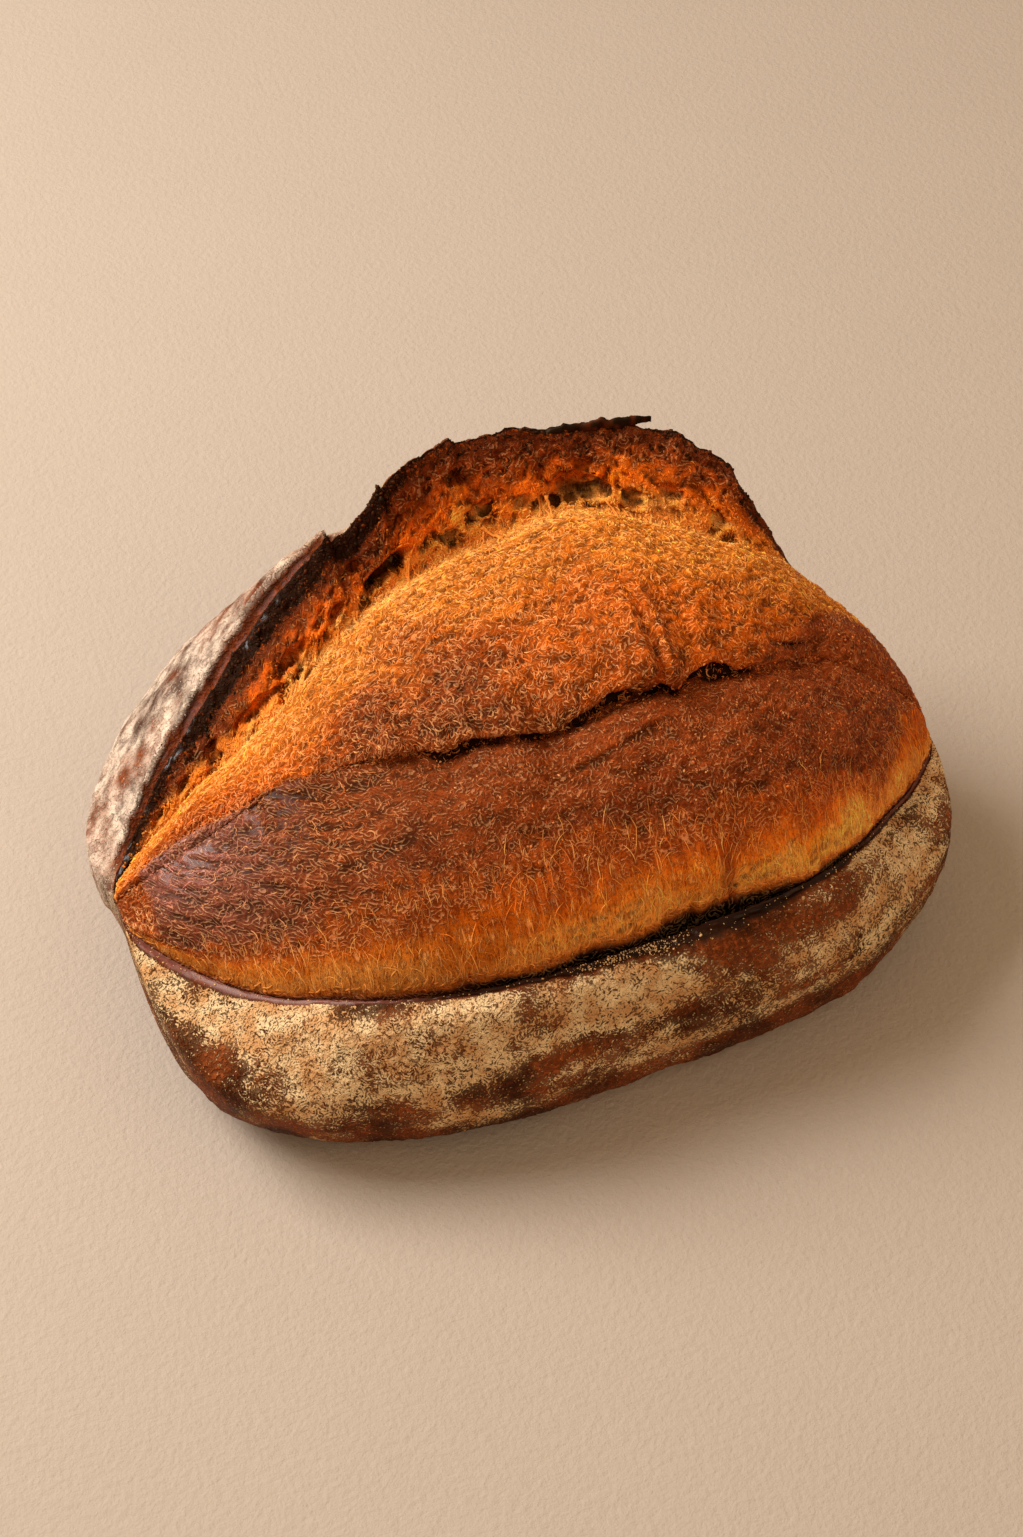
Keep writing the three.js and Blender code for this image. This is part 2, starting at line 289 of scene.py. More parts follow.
# (place along, millimetres) for each size that changes along the loaf, in the order that profiles uses
form = {
    "axisY": [(-1, 9), (1, -10)],
    "axisZ": [(-1, 42), (1, 46)],
    "frontY": [(-1, -122), (-0.92, -111), (-0.8, -99), (-0.6, -91), (-0.3, -86), (-0.1, -82), (0.3, -77),
               (0.65, -74), (0.85, -70), (1, -70)],
    "backY": [(-1, 78), (-0.9, 90), (-0.72, 103), (-0.3, 94), (0, 88), (0.5, 82), (1, 66)],
    "shoulder": [(-1, 6), (-0.9, 5), (-0.6, 1), (-0.3, 0), (1, 0)],
    "tuck": [(-1, 0), (-0.4, 0), (-0.1, 8), (0.45, 10), (0.7, 2), (1, 0)],
    "backDrop": [(-1, 2), (-0.8, 2.2), (-0.6, 2.8), (-0.35, 4.2), (-0.15, 6.5), (1, 6.5)],
    "shelf": [(-1, 6), (-0.85, 9), (-0.6, 12), (-0.4, 11), (-0.2, 6.5), (0, 6.5), (1, 6.5)],
    "lipY": [(-1, -33), (-0.79, -57), (-0.43, -69), (0, -66), (0.62, -54), (0.91, -32), (1, -25)],
    "lipZ": [(-1, -5), (-0.9, 0), (-0.79, 6), (-0.62, 12.5), (-0.43, 15.5), (0, 14), (0.62, 12),
             (0.91, -1), (1, -4)],
    "gap": gapKeys,
    "stripY": [(-1, -34), (-0.86, -43), (-0.45, -55), (0, -49), (0.5, -43), (0.84, -20), (1, -10)],
    "stripZ": [(-1, 4), (-0.86, 13), (-0.45, 34), (0, 38), (0.5, 39), (0.84, 25), (1, 8)],
    "creaseY": [(-1, -2), (-0.6, -3), (-0.25, -11), (0.05, -17), (0.4, -8), (0.8, 4), (1, 5)],
    "creaseZ": [(-1, 12), (-0.6, 38), (-0.25, 50), (0.1, 57), (0.4, 55), (0.8, 38), (1, 20)],
    "overhang": [(-1, 0), (-0.5, 0.3), (-0.3, 2.6), (0, 2), (0.15, 3.4), (0.5, 3), (0.75, 0.8), (1, 0)],
    "domeZ": [(-1, 14), (-0.75, 33), (-0.5, 46), (-0.25, 57), (0, 65), (0.3, 70), (0.5, 67), (0.75, 58),
              (1, 30)],
    "valleyY": [(-1, 20), (-0.75, 22), (-0.5, 30), (-0.25, 49), (0, 57), (0.3, 58), (0.53, 47),
                (0.73, 45), (1, 40)],
    "valleyZ": [(-1, 8), (-0.88, 14), (-0.75, 25), (-0.5, 41), (-0.25, 48), (0, 53), (0.3, 60),
                (0.53, 58), (0.73, 51), (1, 20)],
    "earY": [(-1, 22), (-0.94, 27), (-0.8, 37), (-0.6, 50.5), (-0.2, 68), (0.04, 76), (0.27, 73),
             (0.45, 72), (0.57, 69), (0.67, 64), (0.75, 52), (1, 43)],
    "earZ": [(-1, 9), (-0.94, 14), (-0.8, 30), (-0.6, 45), (-0.37, 60), (-0.2, 68), (-0.14, 75),
             (0.04, 78), (0.27, 81), (0.45, 83), (0.57, 80), (0.67, 71), (0.75, 51), (1, 22)],
}


def taper(t, power):
    return np.clip(1 - np.abs(t) ** power, 0, 1) ** (1 / power)


def ragged(t, seed):
    return bumps(t * loaf["halfLength"] / loaf["tearSize"], seed, 0.5)


def earTear(t):
    rise = loaf["earTear"] * ragged(t, 0.5)
    for place, height in earSteps:
        run = (place - t) / loaf["stepRun"]
        rise = rise + np.where((run >= 0) & (run < 1), height * (1 - run) ** 2, 0)
    # finer flakes along the charred edge, and a dip where the curled sliver lies
    x = t * loaf["halfLength"]
    rise = rise - 2.4 * ramp(t, 0.15, 0.3) * ramp(t, 0.56, 0.5)
    ear = near(t, -0.1, 0.85, 0.6)
    return rise + ear * (1.1 * bumps(x / 2.3, 4.5, 0.5) + 0.7 * bumps(x / 1.1, 8.5, 0.5))


def profiles(t):
    # the two open lines of every profile, as (station, point, xyz) arrays
    (axisY, axisZ, frontY, backY, shoulder, tuck, backDrop, shelf, lipY, lipZ, gap, stripY, stripZ,
     creaseY, creaseZ, overhang, domeZ, valleyY, valleyZ, earY, earZ) = (
        along(t, *keys) for keys in form.values())
    section, underside = taper(t, loaf["planPower"]), taper(t, loaf["undersidePower"])
    tear = earTear(t)
    backZ, earZ = earZ + 0.2 * tear, earZ + tear        # the tears fade out down the back
    overhang = overhang * (1 + 0.5 * ragged(t, 7))
    foot = loaf["footRise"] + np.minimum(2.2, 0.5 * gap) * ragged(t, 3)
    x = t * loaf["halfLength"]
    foot = foot + np.minimum(1.3, 0.35 * gap) * bumps(x / 2.4, 5.5, 0.5)
    unevenness = 0.5 * bumps(x / 8, 2.5, 0.5) + 0.34 * bumps(x / 2.7, 3.5, 0.5)
    gapWidth = along(t, *gapWidthKeys) * (1 + unevenness)
    torn = near(t, 0, 0.9, 0.6)
    creaseY = creaseY + torn * (3.4 * bumps(x / 17, 6.5, 0.5) + 2 * bumps(x / 5, 7.5, 0.5))
    creaseZ = creaseZ + torn * (1.6 * bumps(x / 13, 9.5, 0.5) + 0.8 * bumps(x / 4, 1.5, 0.5))
    overhang = overhang * (1.25 + 0.9 * bumps(x / 3.2, 2.5, 0.5))
    backBelly, frontBelly, bandBulge = loaf["backBelly"], loaf["frontBelly"], loaf["bandBulge"]

    def mix(first, second, share):
        return first + (second - first) * share

    def upper(y, z):
        return np.stack([0 * t, axisY + y * section, axisZ + z * section], -1)

    def lower(y, z):
        depth = (axisZ - z + loaf["settled"]) * underside
        return np.stack([0 * t, axisY + y * section, np.maximum(0, axisZ - depth)], -1)

    def dome(share):
        return mix(creaseY, valleyY, share)

    footCurve = [(0.94, 14), (0.82, 3), (0.66, 0)]
    bloom = [
        upper(lipY, lipZ),
        upper(lipY + 0.35 * gapWidth, lipZ - 0.6 * gap),
        upper(lipY + 0.75 * gapWidth, lipZ - gap),
        upper(lipY + gapWidth, lipZ + foot),
        upper(mix(lipY, stripY, 0.42), mix(lipZ, stripZ, 0.45) + loaf["stripBulge"]),
        upper(stripY, stripZ),
        upper(mix(stripY, creaseY, 0.5), mix(stripZ, creaseZ, 0.5) + bandBulge),
        upper(mix(stripY, creaseY, 0.85), mix(stripZ, creaseZ, 0.85) + 0.3 * bandBulge),
        upper(creaseY, creaseZ - 0.4 * overhang),
        upper(creaseY - 0.25 * overhang, creaseZ + 0.9 * overhang),
        upper(dome(0.12), mix(creaseZ, domeZ, 0.45) + 0.9 * overhang),
        upper(dome(0.34), mix(creaseZ, domeZ, 0.88) + 0.3 * overhang),
        upper(dome(0.6), domeZ),
        upper(dome(0.85), mix(valleyZ, domeZ, 0.62)),
        upper(valleyY, valleyZ),
        upper(mix(valleyY, earY, 0.25), mix(valleyZ, earZ, 0.31)),
        upper(mix(valleyY, earY, 0.68), mix(valleyZ, earZ, 0.71)),
        upper(earY, earZ),
    ]
    crust = [
        upper(earY, earZ),
        upper(earY + loaf["earEdge"], earZ - 0.8 * loaf["earEdge"]),
        upper(earY + shelf - 0.6 * tuck, earZ - backDrop),
        upper(mix(earY, backY, 0.5) - tuck, mix(backZ, -backBelly, 0.21)),
        upper(mix(earY, backY, 0.76) - 0.5 * tuck, mix(backZ, -backBelly, 0.48)),
        upper(mix(earY, backY, 0.96), mix(backZ, -backBelly, 0.8)),
        upper(backY, -backBelly),
        *[lower(share * backY, height) for share, height in footCurve],
        lower(0, 0),
        *[lower(share * frontY, height) for share, height in footCurve[::-1]],
        upper(frontY, -frontBelly),
        upper(mix(frontY, lipY, 0.2), mix(-frontBelly, lipZ, 0.55)),
        upper(mix(frontY, lipY, 0.6), mix(-frontBelly, lipZ, 0.96)),
        upper(lipY, lipZ),
    ]
    bloom, crust = np.stack(bloom, 1), np.stack(crust, 1)
    swell = shoulder * np.sin(np.pi * section)
    for point, share in enumerate([0, 0, 0, 0.1, 0.4, 0.8, 1, 1, 0.8, 0.4]):
        crust[:, point, 0] -= swell * share
    earHeight = np.hypot(earY - valleyY, earZ - valleyZ) * section
    return bloom, crust, section, earHeight


def smoothLine(points, steps):
    # the curve through each station's points: the new points, and each one's place among them
    lengths = np.sqrt(np.linalg.norm(np.diff(points, axis=1), axis=2) + 1e-6)
    positions = np.concatenate([np.zeros((len(points), 1)), np.cumsum(lengths, 1)], 1)
    tangents = slopes(positions.T[..., None], points.transpose(1, 0, 2)).transpose(1, 0, 2)
    places = np.concatenate([i + np.arange(count) / count for i, count in enumerate(steps)])
    i = places.astype(int)
    u = (places - i)[None, :, None]
    gap = (positions[:, i + 1] - positions[:, i])[..., None]
    line = cubic(points[:, i], points[:, i + 1], tangents[:, i] * gap, tangents[:, i + 1] * gap, u)
    return line, places


def stationPlaces():
    # spread evenly over the loaf's surface, so closer together along X near its two ends
    fine = -np.cos(np.linspace(0, np.pi, 4000))
    run = np.hypot(np.diff(fine * loaf["halfLength"]),
                   np.diff(taper(fine, loaf["planPower"]) * loaf["endRound"]))
    length = np.concatenate([[0], np.cumsum(run)])
    return np.interp(np.linspace(0, length[-1], loaf["stations"] + 1)[1:-1], length, fine)


def unitLength(vectors):
    return vectors / (np.linalg.norm(vectors, axis=-1, keepdims=True) + 1e-9)


def gridNormals(grid):
    return unitLength(np.cross(np.gradient(grid, axis=0), np.roll(grid, -1, 1) - np.roll(grid, 1, 1)))


def makeForm():
    t = stationPlaces()
    bloom, crust, section, earHeight = profiles(t)
    inner, innerPlaces = smoothLine(bloom, loaf["bloomSteps"])
    outer, outerPlaces = smoothLine(crust, loaf["crustSteps"])
    grid = np.concatenate([inner, outer], 1)
    place = np.concatenate([innerPlaces, outerPlaces + edgePlace])
    place, t2 = np.broadcast_arrays(place[None, :], t[:, None])
    section = section[:, None]
    grid[..., 0] += t2 * loaf["halfLength"]

    climb = (place - valleyPlace) / (edgePlace - valleyPlace)
    hollow = 0
    for at, height, wide, tall, deep in earHoles:
        sideways = (t2 - at) * loaf["halfLength"] / wide
        upwards = (climb - height) * earHeight[:, None] / tall
        sideways = sideways + 0.3 * bumps(grid[..., 2] / 2.1, at * 9, 0.5)
        upwards = upwards + 0.35 * bumps(grid[..., 0] / 2.6, at * 7, 0.5)
        hollow = np.maximum(hollow, deep * np.clip(1 - sideways ** 2 - upwards ** 2, 0, 1) ** 0.5)
    hollow = np.where(place < edgePlace, hollow, 0)
    grid[..., 1] += 0.8 * hollow
    grid[..., 2] -= 0.6 * hollow

    fade = np.minimum(1, section / 0.5) * ramp(grid[..., 2], 0, 12)
    u, v, w = (grid[..., axis] / loaf["lumpSize"] for axis in range(3))
    grid[..., 1] += loaf["lumpHeight"] * fade * bumps(u, v, w)
    grid[..., 2] += loaf["lumpHeight"] * fade * bumps(w, u, v)
    grid[..., 2] = np.maximum(0, grid[..., 2])
    return grid, place, t2, section, hollow


# what lies where on the loaf's skin, in millimetres and shares of 1
grid, place, t, section, hollow = makeForm()
rings, around = grid.shape[:2]
normals = gridNormals(grid)
arc = np.cumsum(np.linalg.norm(np.diff(grid, axis=1, prepend=grid[:, :1]), axis=2), 1)
edgeColumn = sum(loaf["bloomSteps"])
fromEdge = arc - arc[:, edgeColumn:edgeColumn + 1]      # beyond the ear's edge, down the back
fromLip = arc[:, -1:] - arc                             # below the front lip
x, y, z = (grid[..., axis] for axis in range(3))
print("form:", rings, "rings of", around, "points")

inCrumb = place < edgePlace
valleyColumn = sum(loaf["bloomSteps"][:valleyPlace])
fromValley = arc - arc[:, valleyColumn:valleyColumn + 1]   # up the ear's inner face
insideEdge = np.where(inCrumb, -fromEdge, 0)
gapDepth = along(t, *gapKeys)
wander = place + 0.22 * rough(grid, 9, 3, 1) * (place > 3.3)
fringe = place + 0.22 * bumps(x / 1.2, 3.3, z / 9) + 0.2 * rough(grid, 5, 2, 4)
fringe = fringe + 0.7 * ramp(t, 0.85, 0.97) * rough(grid, 4, 2, 8)

stripTop = along(t, (-1, 4.9), (-0.6, 5.1), (-0.26, 5.25), (0.27, 5), (0.55, 4.85), (0.79, 4.4),
                 (0.86, 4.9), (0.93, 6.3), (1, 7))
bandTop = along(t, (-1, 10.6), (-0.84, 10.4), (-0.68, 9.4), (-0.5, 8.5), (-0.3, 8.5), (0.45, 8.6),
                (0.62, 9.7), (0.8, 11.3), (1, 12.5))
strip = ramp(place, 2.7, 3.1) * ramp(fringe - stripTop, 0.2, -0.2)
bloom = ramp(fringe - stripTop, -0.2, 0.2)
band = ramp(wander - bandTop, 0.25, -0.25)
band = band * ramp(t + 0.01 * bumps(y / 4, z / 4, 0.5), -0.94, -0.915)
crown = bloom * (1 - band) * ramp(wander, 14.2, 13.4)
band = bloom * band
root = ramp(wander, 12.8, 13.8) * ramp(wander, 15.6, 14.4)
ear = ramp(wander, 13.8, 14.6) * (place <= edgePlace)
gap = ramp(place, 0.1, 0.5) * ramp(place, 3.1, 2.7)
crustSide = 1.0 * (place > edgePlace) + (place < 0.2)
grooveWide = along(t, (-1, 5), (-0.8, 7), (-0.6, 8.5), (-0.4, 7.5), (-0.25, 5), (1, 5))
far = fromEdge / grooveWide         # across the groove behind the ear: 0 at the edge, 1 at its far side
leftBack = ramp(t, -0.22, -0.42) * ramp(t, -0.99, -0.93) * (place > edgePlace)

lipReach = along(t, (-1, 5), (-0.93, 5), (-0.86, 4), (-0.77, 2.2), (-0.68, 1.2), (-0.45, 1.1),
                 (-0.22, 1.8), (-0.05, 3.6), (0.05, 3.2), (0.15, 5.6), (0.4, 4.6), (0.6, 2.2), (1, 1.1))
uneven = 0.4 * bumps(x / 6.5, 11.5, z / 6) + 0.4 * bumps(x / 1.9, 12.5, z / 2)
lipReach = lipReach * (1 + uneven * ramp(t, -0.8, -0.5))
lipDark = ramp(fromLip, lipReach, 0.45 * lipReach) * (place > 30)

relief = {
    "tuft": 0.55,           # curled tufts on the dome
    "swell": 0.8,           # broad unevenness of the bloom
    "fibre": 0.4,           # ridges that run up the stretched strip
    "stripCell": (3.4, 2.8, 0.3),
    "cell": (5.5, 7, 2.4),    # open cells at the foot of the ear: across, upwards, deep
    "smallCell": (2.4, 2.9, 0.9),
    "bandGrain": 0.34,
    "crustGrain": 0.3,
    "blister": 0.4,
    "ledge": 0.9,           # a flake's edge in the brown band
    "bandRim": 0.9,         # the band's raised upper edge at its left end
    "groove": 1.5,          # the groove and ridge behind the ear's left part
    "ridge": 1.9,
}


def earCells(across, upwards, deep, seed):
    there = np.stack([x / across, fromValley / upwards, 0 * x + 0.5], -1)
    nearest, following, own = cellular(there, seed)
    return deep * ramp(following - nearest, 0.05, 0.36) * ramp(own, 0.4, 0.85)


def carveSkin():
    tufts = relief["tuft"] * crown * (curled(grid, 2.3, 2) + 0.6 * curled(grid, 4.1, 3) - 0.5)
    swell = (crown + band) * relief["swell"] * rough(grid, 11, 2, 5)
    lap = crown * ramp(place - bandTop, 1.2, 0.1) * near(t, 0.1, 0.6, 0.4)
    frill = lap * (0.5 + 0.9 * bumps(x / 3.4, 0.5, z / 5))
    upwards = np.stack([x / 1.5, arc / 15, 0 * x], -1)
    fibres = strip * relief["fibre"] * rough(upwards, 1, 2, 6)
    lengthways = np.stack([x / 3, arc, 0 * x], -1)
    wavy = 0.6 + 1.4 * ramp(t, -0.3, -0.6)
    bandGrain = band * relief["bandGrain"] * (wavy * curled(lengthways, 2.4, 7) + 0.8 * curled(grid, 3, 17))
    crack = 6.3 + 1.1 * t + 0.12 * bumps(x / 5, 1.5, 0.5)
    ledge = (relief["ledge"] * ramp(place - crack, -0.05, 0.08)
             * ramp(place - crack, 1.3, 0.1) * near(t, 0.13, 0.17, 0.09))
    rimAt = wander - bandTop
    rim = (relief["bandRim"] * ramp(rimAt, 0.1, -0.1) * ramp(rimAt, -1.6, -0.2)
           * ramp(t, -0.25, -0.4) * (1 + 0.5 * bumps(x / 4, 5.5, z / 4)))
    low = ramp(fromValley, 20, 4)
    pits = earCells(*relief["cell"], 3) * low * ramp(insideEdge, 3, 11)
    pits = (pits + earCells(*relief["smallCell"], 8) * ramp(insideEdge, 1, 4)) * ear
    across, tall, deep = relief["stripCell"]
    nearest, following, own = cellular(np.stack([x / across, arc / tall, 0 * x], -1), 4)
    lowStrip = strip * ramp(place, 3.1, 3.25) * ramp(wander, 4.1, 3.6)
    where = near(t, -0.02, 0.14, 0.08) + near(t, 0.42, 0.26, 0.18)
    stripCells = deep * lowStrip * where * ramp(following - nearest, 0.05, 0.4) * ramp(own, 0.35, 0.6)
    charBlend = ear * ramp(insideEdge, 12, 4)
    char = charBlend * (0.6 * curled(grid, 2.6, 12) + 0.5 * rough(grid, 6, 1, 13))
    lowRight = ramp(0.5 * t - z / 60, -0.9, -0.1)
    grains = cellular(grid / 2.3, 6)[0]
    crust = crustSide * (relief["crustGrain"] * (curled(grid, 2.4, 9) - 0.4)
                         + 0.55 * lowRight * (0.6 - grains) * (grains < 0.6)
                         + relief["blister"] * rough(grid, 7, 2, 10))
    tears = 0
    for at, across, wide, tall, deep in creaseTears:
        lengthwise = (t - at) * loaf["halfLength"] / wide + 0.25 * bumps(place * 4, at * 9, 0.5)
        upwards = (place - across) / tall + 0.5 * bumps(x / 3.2, at * 7, 0.5)
        tears = np.maximum(tears, deep * np.clip(1 - lengthwise ** 2 - upwards ** 2, 0, 1) ** 0.5)
    dip, crest = relief["groove"], relief["ridge"]
    seam = (crest * bell(far, 1.12, 0.11) - dip * bell(far, 0.5, 0.28)
            - 0.6 * bell(far, 0.93, 0.06) + 0.5 * bell(fromEdge, 0.6, 0.6))
    foot = ramp(z, 0.5, 6)
    lipRough = 0.5 * lipDark * curled(grid, 2.6, 15) * ramp(t, -0.75, -0.45)
    smoother = 1 - 0.8 * np.maximum(lipDark, leftBack * ramp(far, 1.05, 0.9))
    outside = (crust * smoother + seam * leftBack) * foot - lipRough
    height = tufts + swell + frill + fibres + bandGrain + ledge + rim + char + outside
    return height - pits - stripCells - tears, pits, stripCells, tears


height, pits, stripCells, tears = carveSkin()
taperOff = np.minimum(1, section / 0.35)
height = height * taperOff
skin = grid + normals * height[..., None]
fine = height - sum(np.roll(height, step, 1) for step in (-4, -2, 2, 4)) / 4

# moved into the solid's box
low, high = grid.reshape(-1, 3).min(0), grid.reshape(-1, 3).max(0)
boxLow, boxHigh = np.array(loafBox[0]) / mm, np.array(loafBox[1]) / mm
centre = (low + high) / 2 * np.array([1, 1, 0])
inset = np.array([loaf["inset"], loaf["inset"], 1])
skin = np.clip((skin - centre) * inset, boxLow, boxHigh)
skinNormals = gridNormals(skin)
print("skin carved; solid", (boxHigh - boxLow).round(1), "form", (high - low).round(1))


def paint(red, green, blue):
    return np.array([((part / 255 + 0.055) / 1.055) ** 2.4 for part in (red, green, blue)])


tints = {
    "straw": paint(255, 184, 96),
    "peach": paint(250, 190, 130),
    "comb": paint(186, 148, 84),
    "gold": paint(245, 142, 46),
    "amber": paint(222, 106, 18),
    "rust": paint(172, 74, 16),
    "cocoa": paint(136, 62, 24),
    "umber": paint(98, 38, 14),
    "plum": paint(116, 60, 42),
    "mauve": paint(152, 92, 82),
    "groove": paint(150, 74, 38),
    "char": paint(52, 20, 7),
    # near black: the blackest char, and painted shade deep in the lip's gap
    "sootAndShade": paint(20, 8, 4),
    "redBrown": paint(142, 72, 34),
    "darkCrust": paint(76, 35, 15),
    "thread": paint(246, 178, 112),
    "fleck": paint(250, 200, 140),
}


def layered(base, *coats):
    # each coat is a tint and how much of it, or "bright" and how much lighter
    for name, share in coats:
        if name == "bright":
            base = base * (1 + share)[..., None]
        else:
            base = base + (tints[name] - base) * np.clip(share, 0, 1)[..., None]
    return base


def tintSkin():
    patch = rough(grid, 14, 3, 21)
    speck = rough(grid, 3.5, 2, 22)
    yellow = wander + 0.5 * patch + 0.2 * ramp(t, 0.1, -0.4) + 0.8 * ramp(t, 0.15, 0.5)
    browning = wander - bandTop + 0.9 * patch + along(
        t, (-1, 0.6), (-0.6, 0.5), (-0.3, -1.7), (-0.05, -1.1), (0.1, 0), (0.5, 1.6), (1, 1.8))
    reach = insideEdge + 2.2 * patch + 1.6 * speck + along(
        t, (-1, -1), (-0.5, -3), (-0.15, -4), (0.05, -1), (0.35, 2.5), (0.6, 1), (1, 0))
    comb = ramp(place, 13.6, 14) * ramp(place, 15.2, 14.5) * ramp(patch + speck, -0.6, 0.5)
    comb = comb * (ramp(t, -0.15, -0.3) + ramp(t, 0.38, 0.48)) * ramp(t, -0.85, -0.75)
    mottle = np.clip(0.5 * rough(grid, 3.2, 3, 29), -0.6, 0.6)
    low = ear * ramp(fromValley + 2 * speck + 1.5 * patch, 8, 2.5)
    highStrip = ramp(fringe - stripTop + 0.4 * patch, -1.2, 0)
    lighter = along(t, (-1, 0), (-0.4, 0), (-0.1, 0.2), (0.3, 0.3), (0.65, 0.65), (0.85, 0.2), (1, 0))
    fold = np.abs(t - 0.29 - 0.02 * bumps(place * 2, 0.5, 0.5))
    crumb = layered(
        np.ones(grid.shape) * tints["amber"],
        # dome: yellow at the root and to the left, browner towards the crease
        ("gold", ramp(yellow, 10.9, 12.9)),
        ("straw", 0.55 * ramp(wander + 0.3 * speck, 12.9, 13.9)),
        ("rust", 0.85 * ramp(browning, 2.8, 0.8)),
        ("cocoa", 0.7 * ramp(browning, 1.5, 0.3)),
        # ear: gold at its foot, then orange brown
        ("gold", ear),
        ("straw", 0.35 * root * ear),
        ("comb", 0.75 * comb),
        ("comb", 0.7 * ramp(hollow, 0.5, 2.5)),
        ("amber", ear * ramp(reach, 25, 18)),
        ("rust", 0.9 * ear * ramp(reach + 2 * rough(grid, 6, 2, 26), 19, 10)),
        ("umber", 0.8 * ear * ramp(reach + 4 * rough(grid, 4, 2, 27), 12, 5)),
        ("umber", 0.6 * ear * ramp(reach, 26, 10) * ramp(rough(grid, 4.5, 3, 28), -0.3, 0.7)),
        ("bright", -0.2 * ear * ramp(reach, 16, 5) * ramp(t, 0, -0.3)),
        ("bright", mottle * ear),
        ("gold", 0.8 * low),
        ("straw", 0.35 * low * ramp(speck, -0.5, 0.4)),
        # brown band
        ("cocoa", band),
        ("umber", 0.6 * band * ramp(patch + 0.5 * ramp(wander, 6.3, 5.2), 0, 0.8)),
        ("plum", 0.8 * band * ramp(t, -0.5, -0.75)),
        # greyish mauve at the band's left end: a painted sheen on the glossy crust
        ("mauve", 0.9 * band * ramp(t, -0.6, -0.82) * ramp(wander, 5.2, 6.5)),
        ("bright", band * along(t, (-1, 0), (-0.5, 0), (0, 0.2), (0.5, 0.55), (1, 0.6))),
        ("bright", crown * (0.25 * ramp(t, 0.1, 0.4) + 0.3 * ramp(t, -0.45, -0.65))),
        # stretched strip
        ("amber", strip),
        ("gold", 0.8 * strip * ramp(place + 0.4 * speck, 4.6, 3.8)),
        ("straw", 0.4 * strip * ramp(place + 0.5 * patch, 4, 3.4)),
        ("rust", 0.8 * strip * highStrip),
        ("cocoa", 0.7 * strip * highStrip ** 2),
        ("rust", 0.3 * strip * ramp(t, 0.1, -0.1) * ramp(patch, -0.3, 0.6)),
        ("rust", 0.2 * strip * ramp(t, 0.7, 0.85) * ramp(speck + patch, -0.4, 0.6)),
        ("bright", strip * lighter),
        ("rust", 0.7 * strip * ramp(place + 0.1 * speck, 3.25, 3.05)),
        ("bright", -0.22 * strip * ramp(t, -0.05, -0.4)),
        ("rust", 0.8 * strip * ramp(fold, 0.03, 0.005)),
        ("comb", 0.5 * ramp(stripCells, 0.06, 0.25)),
        # painted shade: the gap under the lip is dark plum, going to black the deeper it is
        ("plum", gap),
        ("sootAndShade", gap * ramp(gapDepth, 1.2, 3.4)),
    )
    across = far + 0.04 * bumps(x / 3, y / 3, 0.5)
    crust = layered(
        np.ones(grid.shape) * tints["redBrown"],
        ("darkCrust", ramp(rough(grid, 12, 3, 23), -0.5, 0.7)),
        ("groove", leftBack * ramp(across, 1.02, 0.92)),
        ("umber", leftBack * bell(across, 0.78, 0.2)),
        ("char", leftBack * bell(across, 0.93, 0.07)),
        ("sootAndShade", 0.92 * lipDark * ramp(t, -0.6, -0.4)),
        ("mauve", 0.8 * lipDark * ramp(t, -0.4, -0.6)),
    )
    lipRim = ramp(fromLip, 1, 0.3) + ramp(place, 0.5, 0.1) * inCrumb
    tint = crumb + (crust - crumb) * np.clip(crustSide, 0, 1)[..., None]
    return layered(tint, ("char", lipRim), ("mauve", 0.9 * lipRim * ramp(gapDepth, 2.4, 1.2)))


def shadeSkin():
    # darker in every dip, and under the strands that lie on it
    shade = 1 + np.clip(fine * 1.8, -0.6, 0.4) * inCrumb
    shade = shade * (1 - 0.6 * ramp(pits, 0.7, 2.6)) * (1 - 0.9 * ramp(hollow, 2.5, 6.5))
    return shade * (1 - 0.3 * crown) * (1 - 0.2 * band) * (1 - 0.15 * strip)


def charAndShadeSkin():
    # how charred: the ear's edge, wider at its left end; also painted shade, dark as char, in the crease
    # under the dome's overhang and down in the deep tears
    patch = rough(grid, 9, 3, 25)
    wide = along(t, (-1, 0), (-0.82, 0.5), (-0.6, 3), (-0.3, 3.5), (-0.1, 1), (0.1, 0), (1, 0))
    reach = np.abs(fromEdge) + 1.8 * patch + (1.5 * ramp(t, -0.6, -0.8) - wide) * inCrumb
    edge = ramp(reach, 10.5, 0.5) * np.where(inCrumb, ear > 0, 1)
    edge = np.where(inCrumb, edge, ramp(fromEdge + 0.8 * patch, 2.4, 0.8))
    # painted shade along the crease under the dome's overhang
    under = near(place, creasePlace, 1, 0.15) * near(t, 0.1, 0.5, 0.35)
    under = under * np.clip(0.8 + 0.6 * bumps(x / 6, 21.5, 0.5), 0, 1)
    edge = edge * (1 - (0.36 + 0.2 * rough(grid, 5, 2, 30)) * ramp(t, -0.22, -0.05) * inCrumb)
    # the deeper a tear, the darker: painted shade
    return np.clip(np.maximum(edge, np.maximum(under, ramp(tears, 0.3, 1.2))), 0, 1)


# where flour lies thicker or thinner: place along, below the lip, half length and height, change
drifts = [
    (-0.47, 8, 0.12, 5, 0.25), (-0.05, 10, 0.15, 8, 0.55), (-0.82, 31, 0.1, 10, -0.5),
    (-0.33, 33, 0.13, 7, -0.5), (0.25, 12, 0.1, 6, -0.4), (0.5, 19, 0.08, 9, 0.2),
    (0.8, 12, 0.1, 8, 0.1), (-0.76, 43, 0.2, 6, -0.35), (0.02, 26, 0.1, 4, -0.3),
    (-0.6, 20, 0.06, 5, -0.25),
]


